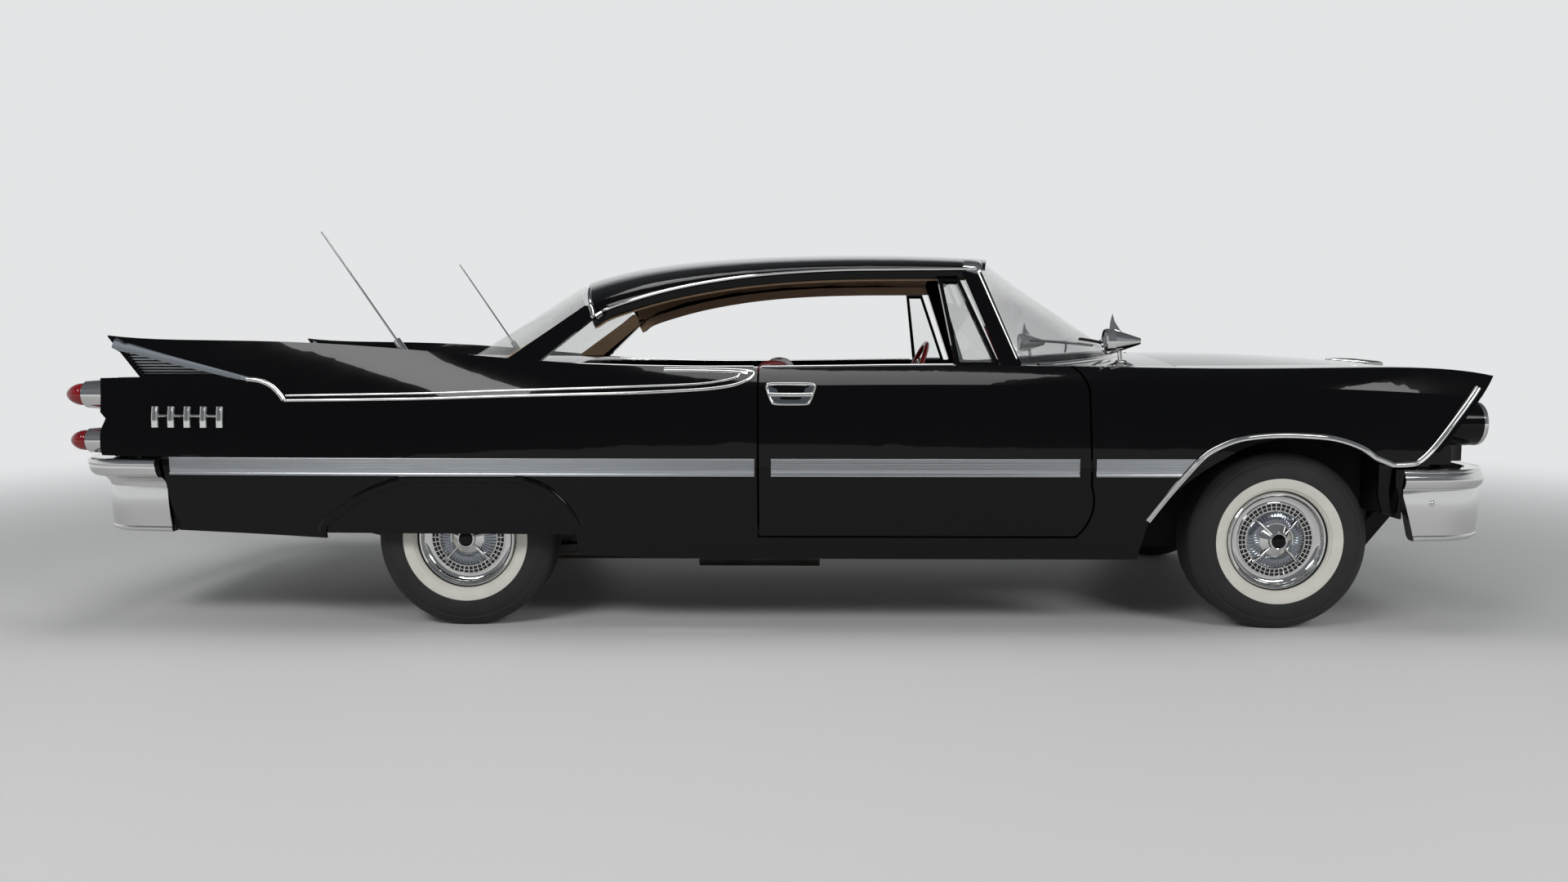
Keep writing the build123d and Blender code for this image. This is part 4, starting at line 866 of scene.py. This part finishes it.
def roof_caps():
    """Bright caps at the roof's rear corners and at the windshield's upper corners."""
    caps = (("rear", REAR_CAP_LINE, 0.02, 0.008), ("front", FRONT_CAP_LINE, 0.074, 0.006))
    for title, line, width, height in caps:
        pair(moulding(*along_skin("roof", line, 5), half_round(width, height)), f"roof_cap_{title}")


roof_caps()

# The windshield's wrapped foot, an arc in plan, and its side edge
SCREEN_RADIUS = 0.9045
SCREEN_CENTRE_X = 0.5505
SCREEN_HALF_ANGLE = 62
SCREEN_TRIM_OUT = 0.014
SCREEN_TOP = Vector((0.767, 0.68, 1.37))
SCREEN_FOOT = Vector((0.898, 0.818, 1.03))


def screen_trim():
    """Bright strips along the windshield's foot, bent round the wrapped glass, and up its sides."""
    path = []
    for i in range(49):
        angle = math.radians(-SCREEN_HALF_ANGLE + 2 * SCREEN_HALF_ANGLE * i / 48)
        reach = SCREEN_RADIUS + SCREEN_TRIM_OUT
        x, y = SCREEN_CENTRE_X + reach * math.cos(angle), reach * math.sin(angle)
        path.append(top_spot(("cowl_panel", FENDER, "front_fender_right", "hood"), x, y))
    path = [spot for spot in path if spot]
    settle(moulding(path, UPWARD, half_round(0.024, 0.009, 0.012)), "windshield_foot_trim")
    path = [SCREEN_FOOT + (SCREEN_TOP - SCREEN_FOOT) * i / 12 for i in range(13)]
    pair(moulding(path, Vector((0, 1, 0.4)), half_round(0.011, 0.005)), "windshield_side_trim")


screen_trim()


def belt_trim():
    """Thin bright strips along the window sills of the door and the rear quarter."""
    runs = (
        ("door", "door_left", -0.07, 0.65, 0.872, 24, DOORS),
        ("rear", QUARTER, -0.1, -0.93, 0.866, 30, BODY),
    )
    for title, panel, start, end, y, count, bodies in runs:
        xs = [start + (end - start) * i / (count - 1) for i in range(count)]
        path = [spot for spot in (top_spot((panel,), x, y) for x in xs) if spot]
        pair(moulding(path, UPWARD, half_round(0.012, 0.006)), f"belt_trim_{title}", bodies=bodies)


belt_trim()

# The door handle's frame and pull bar: x, z in side view
HANDLE_FRAME = [
    (-0.048, 0.93), (-0.036, 0.937), (0.04, 0.9385), (0.118, 0.937), (0.13, 0.93), (0.126, 0.912),
    (0.112, 0.876), (0.098, 0.8655), (0.04, 0.864), (-0.016, 0.8655), (-0.03, 0.876), (-0.044, 0.912),
]  # fmt: skip
HANDLE_BAR = [(-0.036, 0.9), (0.0, 0.899), (0.042, 0.8985), (0.084, 0.899), (0.12, 0.9)]


def door_handle():
    """A cup handle: bright frame, a nearly flat cup of chrome darkened as painted shade, and a pull bar
    across it.
    """
    path, outs = along_skin("door_left", HANDLE_FRAME + HANDLE_FRAME[:1], 5)
    frame_bead = moulding(path, outs, half_round(0.011, 0.0085), close_ends=False)
    bar = moulding(*along_skin("door_left", HANDLE_BAR, 4, lift=0.005), half_round(0.017, 0.011, 0.008))
    rim = [spot + 0.0012 * out for spot, out in zip(path[:-1], outs[:-1])]
    middle = sum(rim, Vector()) / len(rim)
    hollow = [middle + (spot - middle) * 0.55 - 0.0008 * OUTWARD for spot in rim]
    count = len(rim)
    faces = [(i, (i + 1) % count, count + (i + 1) % count, count + i) for i in range(count)]
    cup = from_faces(rim + hollow, faces + [tuple(range(count, 2 * count))])
    pair(joined(frame_bead, bar), "door_handle", smooth=45, bodies=DOORS)
    # The cup's darker chrome is painted shade for its hollow
    pair(cup, "door_handle_cup", PAINTED_SHADE_CHROME, smooth=45, bodies=DOORS)


door_handle()

# The hood's spear: x, half width, height above the hood
HOOD_SPEAR = (
    (2.425, 0.003, 0.002), (2.47, 0.009, 0.008), (2.54, 0.016, 0.014), (2.62, 0.02, 0.013),
    (2.66, 0.016, 0.009), (2.68, 0.006, 0.003),
)  # fmt: skip
HOOD_SPEAR_SIDES = 14


def hood_ornament():
    """A plain bright spear on the hood's centre line, with its underside sunk in the hood."""
    points = []
    for x, half, height in HOOD_SPEAR:
        base = top_spot(("hood", "nose_panel"), min(x, 2.6), 0.0).z + 0.006
        for across, rise in round_bar(1, HOOD_SPEAR_SIDES):
            points.append((x, half * across, base + (height if rise > 0 else 0.012) * rise))
    settle(skinned(points, HOOD_SPEAR_SIDES), "hood_ornament", body="hood", smooth=50)


hood_ornament()

BEZEL = [
    (0.0735, -0.012), (0.0735, 0.002), (0.0765, 0.0055), (0.0815, 0.0045), (0.0845, -0.002), (0.0845, -0.012)
]  # fmt: skip
HEADLAMPS = (("outer", 0.786), ("inner", 0.612))
HEADLAMP_Z = 0.785


def lamp_bezels():
    """Bright rolled rings round the four headlamps."""
    forward = Matrix.Rotation(math.radians(-90), 4, "Z")
    face_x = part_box("headlamp_housings")[1][0]
    places = []
    for side_name, side in SIDES:
        for title, y in HEADLAMPS:
            spot = Matrix.Translation((face_x, side * y, HEADLAMP_Z)) @ forward
            places.append((f"{title}_{side_name}", spot, "body"))
    stamped(lathe(BEZEL, 64), "lamp_bezel", CHROME, places)


lamp_bezels()

GRILLE_X = 2.6155
GRILLE_HALF = 0.525
GRILLE_LEVELS = (0.665, 0.705, 0.745, 0.785, 0.825, 0.862)


def grille_bars():
    """Level bars and fine uprights in front of the grille panel."""
    bars = []
    for z in GRILLE_LEVELS:
        bars.append(block((GRILLE_X, -GRILLE_HALF, z - 0.003), (2.628, GRILLE_HALF, z + 0.003), 0.0015))
    for y in [0.035 * k - GRILLE_HALF for k in range(31)]:
        bars.append(block((GRILLE_X, y - 0.0015, 0.648), (2.622, y + 0.0015, 0.878), 0.0006, 1))
    settle(joined(*bars), "grille_bars", smooth=30)


grille_bars()


# Cabin

LINING_REAR_X = -0.74
LINING_LENGTH = 1.44
LINING_WIDTH = 1.27
LINING_ROWS = 48
LINING_COLUMNS = 24
SEAM_ROWS = 8


def headlining():
    """Tan lining stretched under the roof between the rails, with cross seams."""
    under, points, faces = {}, [], []
    for i in range(LINING_ROWS + 1):
        x = LINING_REAR_X + LINING_LENGTH * i / LINING_ROWS
        sag = 0.006 + 0.004 * abs(math.sin(math.pi * i / SEAM_ROWS))
        for j in range(LINING_COLUMNS + 1):
            y = -LINING_WIDTH / 2 + LINING_WIDTH * j / LINING_COLUMNS
            hit, spot, _, _ = NODES["roof"].ray_cast(Vector((x, y, 1.06)), UPWARD)
            if hit:
                under[i, j] = len(points)
                points += [(x, y, spot.z - sag), (x, y, spot.z - 0.001)]
    for i, j in under:
        near = [(i, j), (i + 1, j), (i + 1, j + 1), (i, j + 1)]
        if all(n in under for n in near):
            faces.append(tuple(under[n] for n in near))
            faces.append(tuple(under[n] + 1 for n in reversed(near)))
    settle(from_faces(points, faces), "headlining", HEADLINER, smooth=60)


headlining()

# The rear pillar's lining: lowest x, highest x and height of its two ends
PILLAR_TOP = (-0.768, -0.678, 1.232)
PILLAR_FOOT = (-1.07, -0.945, 1.03)
PILLAR_ROWS = 12
PILLAR_COLUMNS = 6


def pillar_lining():
    """Tan lining on the inside of the rear pillars, between their top and foot."""
    points, faces = [], []
    for i in range(PILLAR_ROWS + 1):
        low, high, z = (a + (b - a) * i / PILLAR_ROWS for a, b in zip(PILLAR_TOP, PILLAR_FOOT))
        y = inside_spot("roof", (low + high) / 2, z).y
        xs = [low + (high - low) * j / PILLAR_COLUMNS for j in range(PILLAR_COLUMNS + 1)]
        points += [(x, y - 0.004, z) for x in xs] + [(x, y + 0.002, z) for x in xs]
    layer = PILLAR_COLUMNS + 1
    row = 2 * layer
    for start in range(0, PILLAR_ROWS * row, row):
        for j in range(start, start + PILLAR_COLUMNS):
            for k in (j, j + layer):
                faces.append((k, k + 1, k + row + 1, k + row))
        for k in (start, start + PILLAR_COLUMNS):
            faces.append((k, k + layer, k + row + layer, k + row))
    pair(from_faces(points, faces), "pillar_lining", HEADLINER)


pillar_lining()

PAD_INSET = 0.012
PAD_VOXEL = 0.012
PAD_PRESSURE = 4.0
PAD_STEPS = 12
SWELL_LIMIT = 0.02
CHANNEL_STEP = 0.11
CHANNELS = [CHANNEL_STEP * (k - 5) for k in range(11)]
CHANNEL_WIDTH = 0.011
CHANNEL_DEPTH = 0.007


def cushion(low, high):
    """A stuffed pad: a remeshed block puffed up by cloth pressure, then sewn into channels."""
    pad = block([a + PAD_INSET for a in low], [b - PAD_INSET for b in high], 0.03, 3)
    pick(pad)
    pad.data.remesh_voxel_size = PAD_VOXEL
    bpy.ops.object.voxel_remesh()
    start = [v.co.copy() for v in pad.data.vertices]
    cloth = pad.modifiers.new("stuffing", "CLOTH")
    cloth.settings.use_pressure = True
    cloth.settings.uniform_pressure_force = PAD_PRESSURE
    cloth.settings.effector_weights.gravity = 0
    for step in range(1, PAD_STEPS + 1):
        bpy.context.scene.frame_set(step)
    pick(pad)
    bpy.ops.object.modifier_apply(modifier=cloth.name)
    bpy.context.scene.frame_set(1)
    for vertex, rest in zip(pad.data.vertices, start):
        move = vertex.co - rest
        if move.length > SWELL_LIMIT:
            vertex.co = rest + move * (SWELL_LIMIT / move.length)
    for vertex in pad.data.vertices:
        depth = sum(math.exp(-(((vertex.co.y - y) / CHANNEL_WIDTH) ** 2)) for y in CHANNELS)
        vertex.co = vertex.co - vertex.normal * CHANNEL_DEPTH * min(1.0, depth)
    smoothing = pad.modifiers.new("seam_easing", "SUBSURF")
    smoothing.levels = smoothing.render_levels = 1
    pick(pad)
    bpy.ops.object.modifier_apply(modifier=smoothing.name)
    return pad


# Pads: lowest and highest corner, and for a back the point it leans about and its lean in degrees
PADS = {
    "front_seat_cushion": ((0.02, -0.672, 0.4), (0.495, 0.672, 0.585), None, 0),
    "front_seat_back": ((-0.085, -0.672, 0.45), (0.055, 0.672, 1.044), (-0.02, 0, 0.45), -1.5),
    "rear_seat_cushion": ((-0.64, -0.592, 0.4), (-0.235, 0.592, 0.58), None, 0),
    "rear_seat_back": ((-0.775, -0.592, 0.45), (-0.63, 0.592, 0.962), (-0.7, 0, 0.45), -3.0),
}
PLINTHS = (("front", 0.03, 0.45, 0.64), ("rear", -0.63, -0.27, 0.57))


def bench_seats():
    """The two benches: each has a cushion and a back, with sewn channels, on a plinth."""
    for title, (low, high, pivot, lean) in PADS.items():
        pad = cushion(low, high)
        if pivot:
            turn = Matrix.Rotation(math.radians(lean), 4, "Y")
            pad.data.transform(Matrix.Translation(pivot) @ turn @ Matrix.Translation(-Vector(pivot)))
        settle(pad, title, VINYL, smooth=80)
        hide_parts(title.rsplit("_", 1)[0])
    for title, x_low, x_high, half in PLINTHS:
        plinth = block((x_low, -half, 0.347), (x_high, half, 0.44), 0.012, 3)
        settle(plinth, f"{title}_seat_plinth", PLASTIC)


bench_seats()


def door_cards():
    """Padded vinyl linings of doors and quarters; the door's has bright strips, an armrest and a crank."""
    y = inside_spot("door_left", 0.5, 0.7).y
    card = block((-0.05, y - 0.016, 0.41), (1.06, y + 0.001, 0.955), 0.007, 3)
    rest = block((0.18, y - 0.075, 0.655), (0.62, y - 0.01, 0.705), 0.016, 4)
    pair(joined(rest, card), "door_card", VINYL, 50, DOORS)
    trim = [block((-0.045, y - 0.02, z), (1.05, y - 0.014, z + 0.012)) for z in (0.6, 0.8)]
    trim.append(block((0.7, y - 0.045, 0.69), (0.712, y - 0.015, 0.702)))
    trim.append(block((0.66, y - 0.046, 0.69), (0.715, y - 0.038, 0.7)))
    trim.append(block((0.655, y - 0.07, 0.688), (0.669, y - 0.04, 0.702), 0.004, 3))
    pair(joined(*trim), "door_card_trim", bodies=DOORS)
    seal = block((-0.14, y - 0.03, 0.4), (DOOR_REAR_X + 0.012, y - 0.004, 0.975), 0.004)
    pair(seal, "door_seal", RUBBER)
    wall_y = inside_spot(QUARTER, -0.4, 0.75).y
    side = block((-0.76, wall_y - 0.034, 0.45), (-0.105, wall_y - 0.014, 0.94), 0.007, 3)
    pair(side, "quarter_card", VINYL, 50)


door_cards()

# Turned pieces of the dash, steering wheel, mirrors and bumper: radius, outwards
DIAL_BEZEL = [(0.05, 0.0), (0.05, 0.008), (0.054, 0.012), (0.06, 0.008), (0.061, -0.02), (0.05, -0.02)]
DIAL_FACE = [(0.0, 0.003), (0.03, 0.003), (0.0505, 0.0022), (0.0505, -0.02), (0.0, -0.02)]
KNOB = [
    (0.0, 0.026), (0.009, 0.025), (0.012, 0.02), (0.012, 0.012), (0.006, 0.01), (0.006, -0.004), (0.0, -0.004)
]  # fmt: skip
HORN_BUTTON = [(0.0, 0.034), (0.012, 0.033), (0.026, 0.029), (0.034, 0.022), (0.0345, 0.012), (0.0, 0.012)]
MIRROR_GLASS = [(0.0, 0.0035), (0.03, 0.003), (0.039, 0.0015), (0.041, -0.002), (0.0, -0.002)]
MIRROR_RIM = [(0.0415, -0.002), (0.0415, 0.004), (0.0445, 0.006), (0.048, 0.003), (0.048, -0.008)]
MIRROR_FOOT = [
    (0.0, 0.024), (0.012, 0.0235), (0.017, 0.015), (0.03, 0.008), (0.036, 0.003), (0.037, -0.012),
    (0.0, -0.012),
]  # fmt: skip
STUD = [(0.0, 0.007), (0.005, 0.0065), (0.0095, 0.004), (0.0115, 0.0), (0.0115, -0.004), (0.0, -0.004)]

TO_REAR = Matrix.Rotation(math.radians(90), 4, "Z")
DIALS = (("speed", 0.445), ("fuel", 0.295))
DIAL_Z = 0.87
KNOB_Z = 0.83
DASH_STRIP_Z = 0.79


def dash_spot(y, z):
    """The dashboard's face, which looks to the rear."""
    return NODES["dashboard"].ray_cast(Vector((0.3, y, z)), FORWARD)[1]


def dash_fittings():
    """Dials, knobs and a bright strip on the dashboard's face."""
    needle = block((-0.0015, 0.003, -0.01), (0.0015, 0.0052, 0.042), 0.0005, 1)
    needle.data.transform(Matrix.Rotation(math.radians(40), 4, "Y"))
    models = (
        ("dial_bezel", lathe(DIAL_BEZEL, 48), CHROME, "chrome"),
        ("dial_face", lathe(DIAL_FACE, 48), PLASTIC, "cabin_plastic"),
        ("dial_needle", needle, WHITEWALL, "cabin_plastic"),
    )
    places = [(dial, Matrix.Translation(dash_spot(y, DIAL_Z)) @ TO_REAR, "body") for dial, y in DIALS]
    for title, model, finish, slot in models:
        stamped(model, title, finish, places)
    path = [dash_spot(-0.7 + 0.1 * k, DASH_STRIP_Z) - 0.001 * FORWARD for k in range(15)]
    settle(moulding(path, -FORWARD, half_round(0.022, 0.007)), "dash_strip")
    knobs = []
    for y in (0.12, 0.04, -0.04, -0.12):
        knobs.append(lathe(KNOB, 24))
        knobs[-1].data.transform(Matrix.Translation(dash_spot(y, KNOB_Z)) @ TO_REAR)
    settle(joined(*knobs), "dash_knobs")


dash_fittings()

STEER_CENTRE = Vector((0.6, 0.37, 0.9))
STEER_AXIS = Vector((-0.92, 0, 0.39)).normalized()
HORN_RING_R = 0.12


def horn_ring():
    """A bright half ring and a plain button on the steering wheel."""
    upward = STEER_AXIS.cross(OUTWARD)
    path = []
    for i in range(33):
        angle = math.radians(-190 + 200 * i / 32)
        spoke = math.cos(angle) * OUTWARD + math.sin(angle) * upward
        path.append(STEER_CENTRE + 0.006 * STEER_AXIS + HORN_RING_R * spoke)
    ring = moulding(path, STEER_AXIS, round_bar(0.0035, 10))
    settle(ring, "horn_ring", body="steering_wheel", smooth=60)
    boss = lathe(HORN_BUTTON, 40)
    facing = OUTWARD.rotation_difference(STEER_AXIS).to_matrix().to_4x4()
    boss.data.transform(Matrix.Translation(STEER_CENTRE) @ facing)
    settle(boss, "horn_button", body="steering_wheel")


horn_ring()


def screen_spot(y, z):
    """A place just in front of the windshield, or None."""
    hit, spot, normal, _ = NODES["windshield"].ray_cast(Vector((2.2, y, z)), -FORWARD)
    return spot + 0.006 * normal if hit else None


def wipers():
    """Two arms with blades at rest along the windshield's foot."""
    for side_name, side in SIDES:
        blade = [screen_spot(side * (0.1 + 0.045 * k), 1.075 + 0.003 * k) for k in range(10)]
        blade = [spot for spot in blade if spot]
        rubber = moulding(blade, Vector((1, 0, 0.6)), half_round(0.008, 0.009, 0.004, 4))
        settle(rubber, f"wiper_blade_{side_name}", RUBBER)
        foot = top_spot(("cowl_panel",), 1.36, side * 0.42)
        end = blade[len(blade) // 2]
        bend = (foot + end) / 2 + Vector((0.01, 0, 0.016))
        path = [foot - 0.004 * UPWARD, foot + 0.02 * UPWARD, bend, end + Vector((0.01, 0, 0.006))]
        arm = moulding(smooth_path(path, 5), Vector((0.3, 0, 1)), half_round(0.009, 0.004, 0.003, 6))
        settle(arm, f"wiper_arm_{side_name}")


wipers()


def inner_mirror():
    """A rear-view mirror on the dashboard's top."""
    path = smooth_path([(1.0, 0, 0.985), (0.998, 0, 1.02), (0.985, 0, 1.06)], 5)
    stem = moulding(path, FORWARD, round_bar(0.005, 8))
    head = block((0.968, -0.115, 1.055), (0.99, 0.115, 1.115), 0.01, 4)
    settle(joined(stem, head), "inner_mirror", smooth=45)


inner_mirror()


# Front end and fender tops

MIRROR_Y = 0.862
MIRROR_Z = 1.096
MIRROR_FOOT_X = 1.279
MIRROR_FIN = [(1.232, 1.126), (1.292, 1.112), (1.27, 1.142), (1.252, 1.17), (1.243, 1.2), (1.236, 1.168)]


def fender_mirrors():
    """Silvered glass in a bright rim, with a plain fin on the mirror's head and a foot on the fender."""
    glass = lathe(MIRROR_GLASS, 48)
    glass.data.transform(Matrix.Translation((1.2215, MIRROR_Y, MIRROR_Z)) @ TO_REAR)
    # The glass takes the chrome darkened as painted shade
    pair(glass, "fender_mirror_glass", PAINTED_SHADE_CHROME)
    near, away = (
        [(x, MIRROR_Y + side * 0.004 * (1.21 - z) / 0.09, z) for x, z in MIRROR_FIN] for side in (-1, 1)
    )
    rim = lathe(MIRROR_RIM, 48)
    rim.data.transform(Matrix.Translation((1.221, MIRROR_Y, MIRROR_Z)) @ TO_REAR)
    foot = lathe(MIRROR_FOOT, 40)
    stretched = Matrix.Diagonal((1.5, 1, 1, 1)) @ Matrix.Rotation(math.radians(90), 4, "X")
    seat = (MIRROR_FOOT_X, MIRROR_Y, top_spot((FENDER,), MIRROR_FOOT_X, MIRROR_Y).z)
    foot.data.transform(Matrix.Translation(seat) @ stretched)
    pair(joined(skinned(near + away, len(near)), rim, foot), "fender_mirror_dress")


fender_mirrors()

VALANCE_OUTLINE = [
    (2.232, 0.66), (2.4, 0.66), (2.352, 0.6), (2.326, 0.462), (2.3, 0.445), (2.262, 0.452), (2.24, 0.52)
]  # fmt: skip


def front_shields():
    """The painted valance from the front wheel opening to the bumper's end, and the apron behind it."""
    outer = [(x, 0.912 - (0.66 - z) * 0.12, z) for x, z in VALANCE_OUTLINE]
    valance = skinned(outer + [(x, y - 0.014, z) for x, y, z in outer], len(outer))
    pair(eased(valance, 0.003, 2), "front_valance", PAINT, 30)
    apron = block((2.318, 0.585, 0.43), (2.33, 0.899, 0.74), 0.004)
    pair(apron, "splash_apron", UNDERCOAT, 30)


front_shields()


def bumper_studs():
    """A round-headed bright bolt near each end of the front bumper."""
    stud = lathe(STUD, 28)
    spot = NODES["front_bumper"].ray_cast(Vector((2.4, 1.4, 0.5)), -OUTWARD)[1]
    stud.data.transform(Matrix.Translation(spot))
    pair(stud, "bumper_stud")


bumper_studs()


# Camera and studio

CAMERA_PLACE = (0.082, -5.243, 1.078)
CAMERA_TURN = (math.radians(90 - 4.68), 0, math.radians(0.88))
LENS_MM = 26.63
SENSOR_MM = 36
BACKDROP_COLOUR = "#e4e5e6"
FADE_START = 3.2
FADE_END = 9.0
LIGHTS_AIM = Vector((0, 0, 0.6))
# Soft lights: name, place, width and depth, power in watts
LIGHTS = (
    ("key", (-3.2, -5.5, 4.6), (3.2, 1.6), 170.0),
    ("fill", (4.2, -5.0, 3.6), (2.4, 1.6), 100.0),
    ("overhead", (-0.4, -0.6, 5.2), (5.0, 1.6), 110.0),
)
# The world's colours from the horizon up
WALL_STOPS = ((0.0, BACKDROP_COLOUR), (0.34, BACKDROP_COLOUR), (0.52, "#4c4f53"), (1.0, "#6c6f73"))


def camera():
    bpy.ops.object.select_all(action="DESELECT")
    bpy.ops.object.camera_add(location=CAMERA_PLACE, rotation=CAMERA_TURN)
    added = bpy.context.object
    added.data.lens = LENS_MM
    added.data.sensor_width = SENSOR_MM
    bpy.context.scene.camera = added


def backdrop():
    """A pale floor that keeps the car's shadow and fades into the backdrop away from it."""
    bpy.ops.object.select_all(action="DESELECT")
    bpy.ops.mesh.primitive_plane_add(size=80, location=(0, 0, 0))
    floor = bpy.context.object
    floor.name = "studio_floor"
    material = surface("pale_floor", "#d6d6d4", Roughness=0.6)
    nodes, links = material.node_tree.nodes, material.node_tree.links
    here = {"Vector": node(material, "ShaderNodeTexCoord").outputs["Object"]}
    reach = {"Value": node(material, "ShaderNodeVectorMath", here, operation="LENGTH").outputs["Value"]}
    span = {"From_Min": FADE_START, "From_Max": FADE_END, "interpolation_type": "SMOOTHSTEP"}
    fade = {"Fac": node(material, "ShaderNodeMapRange", reach, **span).outputs["Result"]}
    blend = node(material, "ShaderNodeMixShader", fade, nodes["Material Output"].inputs["Surface"])
    links.new(blend.inputs[1], nodes["Principled BSDF"].outputs["BSDF"])
    node(material, "ShaderNodeEmission", None, blend.inputs[2], Color=linear(BACKDROP_COLOUR), Strength=1.0)
    floor.data.materials.append(material)


def lights():
    for name, location, size, power in LIGHTS:
        bpy.ops.object.light_add(type="AREA", location=location)
        lamp = bpy.context.object
        lamp.name = name
        lamp.data.shape = "RECTANGLE"
        lamp.data.size, lamp.data.size_y = size
        lamp.data.energy = power
        lamp.rotation_mode = "QUATERNION"
        lamp.rotation_quaternion = (LIGHTS_AIM - Vector(location)).to_track_quat("-Z", "Y")


def walls():
    """Pale walls under a dark ceiling, darker in reflections of the side that the camera stands on."""
    world = bpy.data.worlds.new("studio_world")
    bpy.context.scene.world = world
    world.use_nodes = True
    background = world.node_tree.nodes["Background"].inputs
    background["Strength"].default_value = 1.0
    place = node(world, "ShaderNodeTexCoord").outputs["Generated"]
    parts = node(world, "ShaderNodeSeparateXYZ", {"Vector": place}).outputs
    ramp = node(world, "ShaderNodeValToRGB", {"Fac": parts["Z"]})
    for position, _ in WALL_STOPS[1:3]:
        ramp.color_ramp.elements.new(position)
    for element, (position, colour) in zip(ramp.color_ramp.elements, WALL_STOPS):
        element.position = position
        element.color = linear(colour)
    pale = node(world, "ShaderNodeMath", operation="MAXIMUM")
    node(world, "ShaderNodeMapRange", {"Value": parts["Y"]}, pale.inputs[0], From_Min=-0.7, From_Max=0.1)
    world.node_tree.links.new(pale.inputs[1], node(world, "ShaderNodeLightPath").outputs["Is Camera Ray"])
    tones = {"data_type": "RGBA", "A": linear("#76797d")}
    shade = node(world, "ShaderNodeMix", {"Factor": pale.outputs["Value"]}, **tones)
    world.node_tree.links.new(shade.inputs["B"], ramp.outputs["Color"])
    world.node_tree.links.new(background["Color"], shade.outputs["Result"])


camera()
backdrop()
lights()
walls()
bpy.context.scene.view_settings.view_transform = "Standard"
